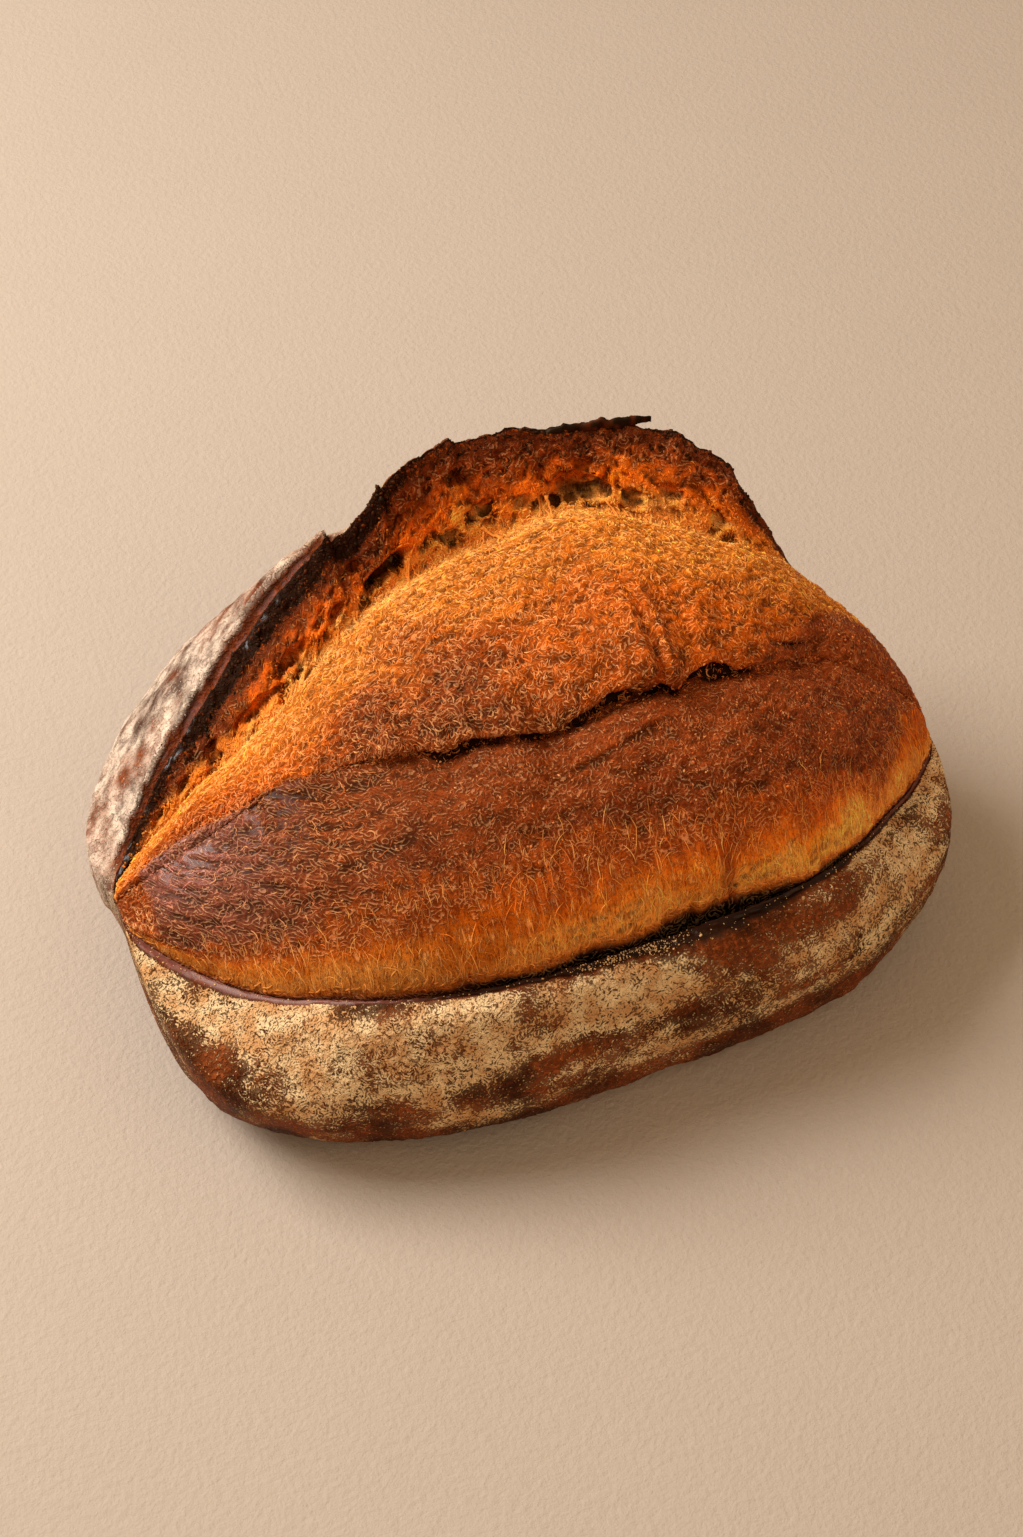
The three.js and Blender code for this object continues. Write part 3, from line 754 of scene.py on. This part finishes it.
def flourSkin():
    streaks = rough(np.stack([x / 42, y / 16, z / 6], -1), 1, 3, 31)
    patches = rough(grid, 15, 3, 32)
    front = ramp(y, 10, -30)
    upper = along(t, (-1, 0.92), (-0.6, 0.9), (-0.3, 0.9), (0, 0.88), (0.2, 0.5), (0.32, 0.36),
                  (0.5, 0.56), (0.75, 0.66), (1, 0.5))
    level = 0.62 + (upper - 0.62) * ramp(fromLip, 34, 14) * front
    patchy = 0.3 - 0.12 * ramp(t, -0.1, -0.5)
    density = level + 0.34 * streaks + patchy * patches + (0.1 + 0.3 * patches) * leftBack
    density = density - 0.66 * ramp(z, 34, 4) * front - 0.3 * ramp(z, 20, 2) * (1 - front)
    density = density + 0.6 * leftBack * bell(far, 1.15, 0.12)
    density = density - 1.5 * leftBack * ramp(far, 1.06, 0.96)
    density = density + 0.5 * ramp(t, 0.5, 0.65) * bell(fromLip, 2.6, 1)
    for at, down, wide, tall, change in drifts:
        away = ((t - at) / wide) ** 2 + ((fromLip - down) / tall) ** 2
        density = density + change * front * np.exp(-away)
    rim = bell(z, 5, 2.5) * ramp(t, -0.3, -0.1) * ramp(t, 0.6, 0.4)
    density = density + 0.6 * rim * front
    below = ramp(fromLip, 0.6 * lipReach, 1.25 * lipReach)
    groove = leftBack * ramp(far, 1.1, 0.98)
    everywhere = 0.14 * (1 - groove)        # a few grains lie even on the barest crust
    return (np.clip(density, everywhere, 1) * np.clip(crustSide, 0, 1) * below
            * ramp(fromEdge, 1, 2.5))


def glossSkin():
    # where the crust is hard and shines
    wet = 0.8 * band * ramp(t, -0.5, -0.8) * ramp(place, 5.5, 8) + gap * ramp(gapDepth, 0.8, 2)
    wet = wet + 0.3 * leftBack * ramp(fromEdge, 1, 2) * ramp(far, 0.95, 0.8)
    rimShine = ear * ramp(insideEdge, 3.5, 1) * ramp(t, -0.35, -0.5)
    wet = wet + 0.9 * rimShine * ramp(rough(grid, 4, 2, 52), 0, 0.5)
    return np.clip(wet + 0.8 * lipDark + 0.5 * ramp(fromLip, 1.6, 0.6), 0, 1)


def whiteSkin():
    # where the flour lies thick and white, painted whiter still as painted light: the shoulder behind the
    # ear's left part, on the side that faces the window light
    left = ramp(t + 0.12 * rough(grid, 16, 3, 51), 0.05, -0.55)
    return left * ramp(y, 0, 25) * (place > edgePlace)


def lieSkin():
    # which way the crumb's threads run: up the strip (1), lengthways at the band's left end (-1)
    ends = ramp(t, -0.15, -0.55)
    upright = strip * (1 - 0.9 * ramp(fringe - stripTop, -1.1, -0.2))
    return upright - band * (0.35 + 0.65 * ends) + 0.5 * ear * ramp(insideEdge, 6, 12)


plainTint = tintSkin()
skinTint = np.clip(plainTint * shadeSkin()[..., None], 0, 1)
skinFlour, skinGloss, skinCharAndShade, skinLie = flourSkin(), glossSkin(), charAndShadeSkin(), lieSkin()
skinWhite = whiteSkin()
skinRun = np.stack([x, arc, 0 * x], -1)     # millimetres along the loaf and round it
print("colours laid out")


def makePiece(name, vertices, faces, material, fields={}):
    mesh = bpy.data.meshes.new(name)
    mesh.from_pydata((vertices * mm).tolist(), [], faces)
    mesh.materials.append(material)
    for label, values in fields.items():
        kind, slot = ("FLOAT", "value") if values.ndim == 1 else ("FLOAT_VECTOR", "vector")
        if label == "tint":
            kind, slot, values = "FLOAT_COLOR", "color", np.insert(values, 3, 1, axis=1)
        attribute = mesh.attributes.new(label, kind, "POINT")
        attribute.data.foreach_set(slot, values.astype(np.float32).ravel())
    mesh.polygons.foreach_set("use_smooth", np.ones(len(mesh.polygons), bool))
    mesh.update()
    piece = bpy.data.objects.new(name, mesh)
    bpy.context.collection.objects.link(piece)
    return piece


def charred(shader, colour, here):
    # mottled charring: brown first, then black, with paler grains left in it; the char amount also carries
    # the painted shade of the crease and the tears
    amount = shader.attribute("char")
    mottle = shader.noise(here, 1.9, 3, 0.7)
    grains = shader.smooth(shader.noise(here, 1, 2, 0.7), 0.55, 0.68)
    level = amount + mottle * 0.8 - grains * 0.12
    brown = shader.smooth(level, 0.55, 0.95)
    black = shader.smooth(level, 0.95, 1.25)
    toast = shader.mix(grains, tints["umber"], tints["rust"])
    colour = shader.mix(brown * 0.85, colour, toast)
    return shader.mix(black * 0.93, colour, tints["sootAndShade"])


def crumbMaterial():
    shader = Shader("bloom crumb")
    tint = shader.attribute("tint", "Color")
    gloss = shader.attribute("gloss")
    lie = shader.attribute("lie")
    here = shader.positions()
    run = shader.attribute("run", "Vector")
    plain = 1 - shader.smooth(abs(lie), 0, 1)
    curly = shader.curls(here, 2.1, 1.05, (5, 5, 5)) * 1.4 * plain
    drawn = shader.curls(run, 2.7, 1.15, (5, 9, 0)) * 1.3 * shader.smooth(lie, 0, -1)
    streaks = shader.noise(shader.stretch(run, (1.3, 0.16, 1)), 1, 3, 0.7) * 9 - 4.5
    upright = shader.smooth(lie, 0, 1)
    ridge = curly + drawn + streaks * upright
    breaks = shader.noise(here, 2.6, 2) - 0.5
    curls = shader.smooth(ridge + breaks * 4, 0.1, 1.5)
    grain = shader.noise(here, 0.7, 2, 0.6)
    # painted shade: the ground between the curls is darker down in their dips
    shadedGround = shader.mix(shader.smooth(ridge * 0.2 + grain, 0.55, 0.2),
                        shader.times(tint, (0.95, 0.82, 0.66)),
                        shader.times(tint, (0.52, 0.36, 0.22)))
    # the curls paler peach: pale threads, partly a painted highlight on their tops
    light = shader.mix(0.24, shader.times(tint, (1.12, 1.15, 1.2)), tints["peach"])
    colour = shader.mix(curls * 0.8, shadedGround, light)
    # painted shade: darker down between the strip's streaks
    colour = shader.mix(shader.smooth(streaks, 0.1, -1.6) * upright * 0.55, colour,
                        shader.times(colour, (0.55, 0.36, 0.22)))
    colour = charred(shader, colour, here)
    normal = shader.bump(curls + grain * 0.4, 0.5)
    return shader.principled(Base_Color=colour, Normal=normal,
                             Roughness=0.6 - gloss * 0.28 - curls * 0.15,
                             Coat_Weight=gloss * 0.4, Coat_Roughness=0.2,
                             Specular_IOR_Level=0.07)


def crustMaterial():
    shader = Shader("floured crust")
    tint = shader.attribute("tint", "Color")
    density = shader.attribute("flour")
    gloss = shader.attribute("gloss")
    here = shader.positions()
    white = shader.attribute("white")
    clumps = shader.noise(here, 6, 3, 0.6)
    level = shader.maths("MINIMUM", density * 2.1 + clumps * 2.4 - 2.3, 1 + white * 0.6)
    strokes = shader.curls(here, 1.9, 0.78, (4, 4, 4)) * 0.45 + shader.noise(here, 1.1, 3, 0.7) * 5 - 2.5
    dust = shader.smooth(strokes + level, 0, 0.7) * shader.smooth(density, 0.02, 0.2) * (1 - white * 0.55)
    mottled = shader.smooth(shader.noise(here, 5, 3, 0.7), 0.34, 0.62)
    haze = shader.smooth(density + clumps * 0.6, 0.4, 1.2)
    haze = haze * (mottled * 0.75 + 0.25 * white) * (0.24 + white * 0.56)
    specks = shader.smooth(shader.cells(here, 1.4), 0.22, 0.14) * shader.smooth(density, 0, 0.25) * 0.6
    blotch = shader.noise(here, 2.6, 3, 0.7)
    grains = shader.smooth(shader.noise(here, 1.3, 2, 0.6), 0.4, 0.65) * (1 - gloss)
    browned = shader.mix(blotch * 0.6 + grains * 0.4, shader.times(tint, (0.2, 0.17, 0.14)),
                         shader.times(tint, (1.5, 1.3, 1.05)))
    browned = shader.mix(shader.smooth(density, 0.3, 0.8), browned,
                         shader.times(browned, (0.85, 0.74, 0.62)))
    flour = shader.mix(shader.smooth(shader.noise(here, 7, 3), 0.35, 0.65), paint(220, 160, 102),
                       paint(252, 212, 156))
    # the shoulder's whitest flour: thick flour, and painted light where it faces the window
    flour = shader.mix(white * 0.7, flour, paint(252, 228, 206))
    cover = shader.maths("MAXIMUM", shader.maths("MAXIMUM", dust * 0.85, haze), specks)
    colour = shader.mix(cover, browned, flour)
    colour = charred(shader, colour, here)
    normal = shader.bump(cover + blotch * 0.4, 0.7, shader.bump(grains, 0.35))
    return shader.principled(Base_Color=colour, Normal=normal,
                             Roughness=0.58 + cover * 0.35 - gloss * 0.3,
                             Coat_Weight=gloss * 0.22, Coat_Roughness=0.25,
                             Specular_IOR_Level=0.1)


def strandMaterial(name, roughness, specular):
    shader = Shader(name)
    tint = shader.attribute("tint", "Color")
    grain = shader.noise(shader.positions(), 0.6, 1)
    colour = shader.mix(shader.smooth(grain, 0.65, 0.35) * 0.4, tint,
                        shader.times(tint, (0.5, 0.4, 0.3)))
    return shader.principled(Base_Color=colour, Roughness=roughness, Specular_IOR_Level=specular)


bloomCrumb, flouredCrust = crumbMaterial(), crustMaterial()
crumbStrands = strandMaterial("crumb strands", 0.5, 0.25)
charredGrains = strandMaterial("charred grains", 0.55, 0.2)


def spread(values):
    # one value for each point of the rings, then for the two end points
    flat = values.reshape(rings * around, -1)
    ends = [values[end].reshape(around, -1).mean(0) for end in (0, -1)]
    out = np.concatenate([flat, ends])
    return out if out.shape[1] > 1 else out[:, 0]


def makeSkin():
    # the crumb of the bloom and the crust round it: two pieces that meet along the lip and the ear
    left, right = skin[0].mean(0), skin[-1].mean(0)
    left[0] -= 0.1
    right[0] += 0.1
    vertices = np.concatenate([skin.reshape(-1, 3), [left, right]])
    index = np.arange(rings * around).reshape(rings, around)
    here, below = index[:-1], index[1:]
    quads = np.stack([here, below, np.roll(below, -1, 1), np.roll(here, -1, 1)], -1)
    first, last, left, right = index[0], index[-1], rings * around, rings * around + 1
    caps = np.concatenate([np.stack([0 * first + left, first, np.roll(first, -1)], -1),
                           np.stack([0 * last + right, np.roll(last, -1), last], -1)])
    onCrust = place[0] >= edgePlace
    # the char field also holds painted shade in the crease under the dome and in the tears
    fields = {"tint": skinTint, "flour": skinFlour, "gloss": skinGloss, "char": skinCharAndShade,
              "lie": skinLie, "run": skinRun, "white": skinWhite}
    fields = {name: spread(values) for name, values in fields.items()}
    for name, material, columns, ends in (("bloomCrumb", bloomCrumb, ~onCrust, caps[:0]),
                                          ("flouredCrust", flouredCrust, onCrust, caps)):
        faces = quads[:, columns].reshape(-1, 4)
        used = np.unique(np.concatenate([faces.ravel(), ends.ravel()]))
        number = np.zeros(len(vertices), int)
        number[used] = np.arange(len(used))
        faces = number[faces].tolist() + number[ends].tolist()
        piece = makePiece(name, vertices[used], faces, material,
                          {label: values[used] for label, values in fields.items()})
        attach(piece, "root")
        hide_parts("loaf")
        print(name, len(faces) * 2, "triangles")


makeSkin()


def look(field, i, j):
    # a field of the skin between its points; j runs round the ring
    i = np.clip(i, 0, rings - 1.001)
    low, side = i.astype(int), np.floor(j).astype(int)
    u, v = (i - low)[..., None], (j - np.floor(j))[..., None]
    left, right = side % around, (side + 1) % around
    field = field.reshape(rings, around, -1)
    return ((field[low, left] * (1 - u) + field[low + 1, left] * u) * (1 - v)
            + (field[low, right] * (1 - u) + field[low + 1, right] * u) * v)


stepAlong = np.linalg.norm(np.gradient(skin, axis=0), axis=2)
stepRound = np.linalg.norm(np.roll(skin, -1, 1) - np.roll(skin, 1, 1), axis=2) / 2
cellArea = stepAlong * stepRound
onSkin = ramp(np.minimum(np.arange(rings), np.arange(rings)[::-1]), 4, 12)[:, None]


def scatterOn(density, count, rng):
    # starting points, as dense as the field says for each square millimetre
    weight = (density * onSkin * cellArea).ravel()
    chosen = rng.choice(weight.size, count, p=weight / weight.sum())
    return chosen // around + rng.random(count), chosen % around + rng.random(count)


def makeStrands(name, density, kind):
    rng = np.random.default_rng(kind["seed"])
    count, segments = kind["count"], kind["segments"]
    i, j = scatterOn(density, count, rng)
    length, width, lift = (rng.uniform(*kind[size], count) for size in ("length", "width", "lift"))
    middle, aside = kind["heading"]
    heading = np.radians(middle + rng.uniform(-aside, aside, count))
    bend = np.radians(rng.uniform(*kind["bend"], count)) * rng.choice([-1, 1], count)
    wobble = np.radians(kind["wobble"])
    centres, ups, tones = [], [], []
    for step in range(segments + 1):
        rise = lift * math.sin(math.pi * step / segments) - kind["sunk"]
        up = look(skinNormals, i, j)
        centres.append(look(skin, i, j) + up * rise[:, None])
        ups.append(up)
        tones.append(look(plainTint, i, j))
        i = i + length / segments * np.cos(heading) / np.maximum(look(stepAlong, i, j)[:, 0], 0.3)
        j = j + length / segments * np.sin(heading) / np.maximum(look(stepRound, i, j)[:, 0], 0.3)
        heading = heading + bend * length / segments + rng.normal(0, wobble, count)
    centres, ups, tones = (np.stack(parts, 1) for parts in (centres, ups, tones))
    tones = tones * rng.uniform(*kind["bright"], (count, 1, 1))
    tones = tones + (tints[kind["paleTint"]] - tones) * rng.random((count, 1, 1)) ** 2 * kind["pale"]
    # none that jumps across a fold
    kept = np.linalg.norm(np.diff(centres, axis=1), axis=2).max(1) < 1.8 * length / segments
    corners = strandCorners(centres[kept], ups[kept], width[kept], kind["flat"])
    addLoose(name, corners, tubeFaces(kept.sum(), segments, 3), crumbStrands, np.repeat(tones[kept], 3, 1))


def strandCorners(centres, ups, width, flat):
    # three-sided strands that taper at both ends
    side = unitLength(np.cross(ups, unitLength(np.gradient(centres, axis=1))))
    share = np.linspace(-1, 1, centres.shape[1])
    half = width[:, None, None] / 2 * (1 - 0.7 * np.abs(share) ** 3)[None, :, None]
    low, high = centres - ups * half * flat * 0.7, centres + ups * half * flat * 1.3
    return np.stack([low - side * half, low + side * half, high], 2).reshape(-1, 3)


def tubeFaces(count, segments, sides):
    base = np.arange(count)[:, None, None] * (segments + 1) * sides
    ring = base + np.arange(segments)[None, :, None] * sides
    a = np.arange(sides)
    b = (a + 1) % sides
    quads = np.stack([ring + a, ring + b, ring + b + sides, ring + a + sides], -1).reshape(-1, 4)
    first = base[:, 0, 0, None]
    caps = [*(first + a[::-1]).tolist(), *(first + segments * sides + a).tolist()]
    return quads.tolist() + caps


def addLoose(name, vertices, faces, material, tones):
    piece = makePiece(name, np.clip(vertices, boxLow, boxHigh), faces, material,
                      {"tint": np.clip(tones, 0, 1).reshape(-1, 3)})
    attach(piece, "root")
    print(name, sum(len(face) - 2 for face in faces), "triangles")


strand = dict(segments=4, heading=(0, 180), width=(0.4, 0.8), wobble=30, sunk=0.12, pale=0.7,
              paleTint="thread", flat=0.6)
crownTufts = dict(strand, seed=11, count=4200, segments=5, length=(1.4, 3.8), width=(0.46, 0.8),
                  lift=(-0.05, 0.14), bend=(10, 75), sunk=0.14, bright=(0.6, 1.7), pale=0.8, flat=0.8)
bandCurls = dict(strand, seed=12, count=3600, length=(1, 3.2), width=(0.36, 0.62), lift=(-0.05, 0.08),
                 bend=(10, 60), wobble=26, bright=(0.9, 2), pale=0.35)
bandWaves = dict(strand, seed=19, count=420, segments=7, length=(2, 6), width=(0.36, 0.6),
                 lift=(-0.04, 0.12), heading=(0, 34), bend=(0, 12), wobble=26, bright=(1.3, 2.6))
bandRim = dict(strand, seed=20, count=420, length=(1.4, 4), lift=(0, 0.5), heading=(0, 90),
               bend=(5, 50), sunk=0.15, bright=(0.8, 1.5), pale=0.4, flat=0.7)
bandFlecks = dict(strand, seed=15, count=1100, segments=2, length=(0.5, 1.4), width=(0.4, 0.9),
                  lift=(0.1, 0.3), bend=(0, 1), wobble=4, sunk=0.1, bright=(1.2, 2.4))
stripFibres = dict(strand, seed=13, count=2000, segments=6, length=(2, 9), width=(0.2, 0.38),
                   lift=(-0.04, 0.16), heading=(90, 16), bend=(0, 10), wobble=10, sunk=0.08,
                   bright=(0.7, 1.7), pale=0.8, paleTint="straw")
rimCurls = dict(strand, seed=18, count=500, length=(1.5, 5), lift=(0, 0.3), heading=(0, 50),
                bend=(5, 40), wobble=18, sunk=0.15, bright=(0.6, 1.4), pale=0.4, paleTint="rust", flat=0.8)
earThreads = dict(strand, seed=14, count=2800, segments=3, length=(0.8, 3), lift=(0, 0.5),
                  heading=(90, 60), bend=(5, 45), wobble=18, sunk=0.2, bright=(0.7, 1.6), pale=0.4,
                  paleTint="gold", flat=0.9)
lowEar = ear * ramp(insideEdge, 6, 12) * ramp(hollow, 2, 0.5)
stripRim = near(place, 3.1, 0.16, 0.04) * inCrumb
makeStrands("crownTufts", crown * (1 - 0.55 * ramp(t, -0.1, 0.3)), crownTufts)
highStrip = strip * ramp(fringe - stripTop, -1, -0.2)
wavy = band * ramp(t, -0.3, -0.55)
rimAt = near(fringe + 0.3 * bumps(x / 3, y / 3, 2.5), bandTop, 0.9, 0.2)
rimAt = rimAt * ramp(t, -0.15, -0.4) * inCrumb
makeStrands("bandCurls", band - 0.6 * wavy + 0.6 * highStrip, bandCurls)
makeStrands("bandWaves", wavy, bandWaves)
makeStrands("bandRim", rimAt, bandRim)
makeStrands("bandFlecks", band + 0.12 * crown, bandFlecks)
makeStrands("stripFibres", strip * (1 + ramp(place, 4, 3.2)), stripFibres)
makeStrands("rimCurls", stripRim, rimCurls)
makeStrands("earThreads", 0.5 * lowEar + root * ramp(hollow, 2, 0.5), earThreads)


def makeGrains(name, density, kind, material):
    # small knobbly lumps, partly sunk in the skin
    rng = np.random.default_rng(kind["seed"])
    count = kind["count"]
    golden = (1 + 5 ** 0.5) / 2
    knob = np.array([(0, a, b * golden) for a in (-1, 1) for b in (-1, 1)])
    knob = np.concatenate([knob, knob[:, [1, 2, 0]], knob[:, [2, 0, 1]]]) / np.hypot(1, golden)
    corners = len(knob)
    gaps = np.linalg.norm(knob[:, None] - knob[None], axis=2)
    joined = (gaps > 0.1) & (gaps < 1.2)
    sides = [(a, b, c) for a in range(corners) for b in range(corners) for c in range(corners)
             if a < b and a < c and joined[a, b] and joined[b, c] and joined[a, c]
             and np.dot(np.cross(knob[b] - knob[a], knob[c] - knob[a]), knob[a]) > 0]
    i, j = scatterOn(density, count, rng)
    size = rng.uniform(*kind["size"], (count, 1, 1)) / 2
    turned = np.linalg.qr(rng.normal(0, 1, (count, 3, 3)))[0]
    shaped = knob[None] * rng.uniform(0.7, 1.2, (count, corners, 1)) * rng.uniform(0.5, 1.5, (count, 1, 3))
    up = look(skinNormals, i, j)
    centre = look(skin, i, j) + up * size[:, 0] * kind["proud"]
    vertices = centre[:, None] + size * np.einsum("nij,nkj->nki", turned, shaped)
    tones = look(plainTint, i, j)[:, None] + 0 * vertices
    tones = tones + (tints[kind["tint"]] - tones) * rng.random((count, 1, 1)) ** kind["evenness"]
    tones = tones * rng.uniform(*kind["bright"], (count, 1, 1))
    faces = (np.arange(count)[:, None, None] * corners + np.array(sides)).reshape(-1, 3)
    addLoose(name, vertices.reshape(-1, 3), faces.tolist(), material, tones)


charGrains = dict(seed=16, count=1100, size=(0.4, 1.5), proud=-0.35, tint="sootAndShade", evenness=0.4,
                  bright=(0.4, 1.4))
flourGrains = dict(seed=17, count=420, size=(0.2, 0.6), proud=0.2, tint="fleck", evenness=0.1,
                   bright=(0.6, 1))
nearEdge = ramp(np.abs(fromEdge) + 4 * rough(grid, 4, 2, 41), 9, 3)
nearEdge = nearEdge * near(t, -0.1, 0.86, 0.8) * np.where(inCrumb, 1, fromEdge < 1)
specked = lipDark * near(t, 0.02, 0.2, 0.05) + 0.1 * lipDark
makeGrains("charGrains", nearEdge, charGrains, charredGrains)
makeGrains("flourGrains", specked, flourGrains, crumbStrands)

webs = {
    "at": [-0.84, -0.74, -0.64, -0.53, -0.44, -0.36, -0.3, -0.13, -0.07, 0.03, 0.1, 0.22, 0.37, 0.46],
    "each": 4, "apart": 0.022, "segments": 7, "sides": 5, "foot": (13.6, 14), "head": (14.1, 14.8),
    "lean": 3, "thick": (0.4, 1.5), "waist": 0.45, "sag": (0, 1.2),
}


def makeWebs():
    # torn threads of crumb that still join the ear to the dome
    rng = np.random.default_rng(21)
    segments, sides = webs["segments"], webs["sides"]
    stations = np.repeat(webs["at"], webs["each"])
    count = len(stations)
    stations = stations + rng.normal(0, webs["apart"], count)
    i = np.interp(stations, t[:, 0], np.arange(rings))
    columns = np.arange(around)
    footJ = np.interp(rng.uniform(*webs["foot"], count), place[0], columns)
    headJ = np.interp(rng.uniform(*webs["head"], count), place[0], columns)
    foot = look(skin, i, footJ)
    head = look(skin, i + rng.normal(0, webs["lean"], count), headJ)
    share = np.linspace(0, 1, segments + 1)[None, :, None]
    sag = rng.uniform(*webs["sag"], (count, 1, 1)) * 4 * share * (1 - share)
    line = foot[:, None] + (head - foot)[:, None] * share - np.array([0, 0, 1]) * sag
    line = line + 0.2 * rng.normal(0, 1, line.shape) * (4 * share * (1 - share)) ** 0.5
    thick = rng.uniform(*webs["thick"], (count, 1, 1))
    radius = thick * (webs["waist"] + (1 - webs["waist"]) * np.abs(2 * share - 1) ** 2.2) / 2
    tangent = unitLength(np.gradient(line, axis=1))
    side = unitLength(np.cross(tangent, [1, 0, 0.2]))
    other = np.cross(tangent, side)
    turn = np.linspace(0, 2 * np.pi, sides, endpoint=False)
    rim = np.stack([line + radius * (side * math.cos(a) * 0.6 + other * math.sin(a) * 1.3)
                    for a in turn], 2)
    faces = tubeFaces(count, segments, sides)
    low, high = look(plainTint, i, footJ)[:, None], look(plainTint, i, headJ)[:, None]
    tone = (low + (high - low) * share) * rng.uniform(0.8, 1.2, (count, 1, 1))
    tone = tone + (tints["gold"] - tone) * 0.3
    addLoose("earWebs", rim.reshape(-1, 3), faces, crumbStrands, np.repeat(tone, sides, 1))


makeWebs()

sliver = {"reach": (0.2, 0.49), "rise": 2.6, "tall": 2.2, "thick": 1, "tip": 1.8, "steps": 60,
          "sides": 12}


def makeSliver():
    # a charred flake that stands up along the ear's highest part and ends in a raised tip
    steps, sides = sliver["steps"], sliver["sides"]
    share = np.linspace(0, 1, steps + 1)
    stations = sliver["reach"][0] + (sliver["reach"][1] - sliver["reach"][0]) * share
    i = np.interp(stations, t[:, 0], np.arange(rings))
    edge = look(skin, i, np.full(steps + 1, float(edgeColumn)))
    tall = sliver["tall"] * (0.45 + 0.55 * ramp(share, 1, 0.75)) * ramp(share, -0.05, 0.3)
    rise = sliver["rise"] * ramp(share, 0, 0.6) + sliver["tip"] * ramp(share, 0.8, 0.97)
    rise = rise + 0.5 * bumps(share * 11, 0.5, 0.5) + 0.3 * bumps(share * 31, 0.5, 0.5)
    centre = edge + np.stack([0 * share, 0.4 + 0 * share, rise - tall], -1)
    turn = np.linspace(0, 2 * np.pi, sides, endpoint=False)
    outline = []
    for a in turn:
        bulge = 1 + 0.35 * bumps(share * 12, a * 1.3, 3.5) + 0.3 * bumps(share * 33, a * 2, 1.5)
        thick = sliver["thick"] * ramp(share, 1.02, 0.8) * bulge
        outline.append(centre + np.stack([0 * share, math.cos(a) * thick, math.sin(a) * tall * bulge], -1))
    vertices = np.stack(outline, 1).reshape(-1, 3)
    tone = tints["sootAndShade"] + (tints["umber"] - tints["sootAndShade"]) * np.clip(
        bumps(vertices[:, 0] / 1.6, vertices[:, 1] / 1.6, vertices[:, 2] / 1.6), 0, 1)[:, None]
    addLoose("charredSliver", vertices, tubeFaces(1, steps, sides), charredGrains, tone)


makeSliver()

table = {"size": 16, "colour": paint(189, 170, 152), "roughness": 0.9}


def makeTable():
    shader = Shader("plain table")
    here = shader.positions()
    grain = shader.noise(here, 2.2, 4, 0.65)
    soft = shader.noise(here, 60, 2)
    mottle = shader.noise(here, 5, 3, 0.7)
    colour = shader.mix(soft * 0.3 + mottle * 0.7, table["colour"] * 1.03, table["colour"] * 0.9)
    shader.principled(Base_Color=colour, Normal=shader.bump(grain, 0.55),
                      Roughness=table["roughness"])
    half = table["size"] / 2 / mm
    corners = np.array([(-half, -half, 0), (half, -half, 0), (half, half, 0), (-half, half, 0)])
    makePiece("plainTable", corners, [[0, 1, 2, 3]], shader.material)


makeTable()

lights = [      # name, place, size, power, colour
    ("windowLight", (-0.7, 0.49, 0.92), 0.7, 21, (0.94, 0.97, 1)),
    ("roomFill", (0.6, -1.2, 1.3), 1.6, 7, (1, 0.8, 0.6)),
]
lightAim = Vector((0, 0, 0.05))
for name, spot, size, power, colour in lights:
    lamp = bpy.data.lights.new(name, "AREA")
    lamp.shape, lamp.size, lamp.energy, lamp.color = "SQUARE", size, power, colour
    holder = bpy.data.objects.new(name, lamp)
    holder.location = spot
    holder.rotation_euler = (lightAim - Vector(spot)).to_track_quat("-Z", "Y").to_euler()
    bpy.context.collection.objects.link(holder)

room = {"colour": (1, 0.8, 0.56), "strength": 0.44}
world = bpy.data.worlds.new("softRoom")
world.use_nodes = True
background = world.node_tree.nodes["Background"]
background.inputs["Color"].default_value = (*room["colour"], 1)
background.inputs["Strength"].default_value = room["strength"]
bpy.context.scene.world = world
bpy.context.scene.view_settings.view_transform = "Standard"

view = {"lens": 61.52, "target": (-2.79, -9, 46), "aim": (-0.82, 0.26, 53.9), "distance": 760,
        "azimuth": -20, "elevation": 50, "sensor": 36, "clip": (0.01, 20)}


def makeCamera():
    azimuth, elevation = math.radians(view["azimuth"]), math.radians(view["elevation"])
    back = Vector((math.sin(azimuth) * math.cos(elevation), -math.cos(azimuth) * math.cos(elevation),
                   math.sin(elevation)))
    lens = bpy.data.cameras.new("camera")
    lens.lens, lens.sensor_width = view["lens"], view["sensor"]
    lens.clip_start, lens.clip_end = view["clip"]
    camera = bpy.data.objects.new("camera", lens)
    spot = (Vector(view["target"]) + back * view["distance"]) * mm
    camera.location = spot
    camera.rotation_euler = (Vector(view["aim"]) * mm - spot).to_track_quat("-Z", "Y").to_euler()
    bpy.context.collection.objects.link(camera)
    bpy.context.scene.camera = camera


makeCamera()
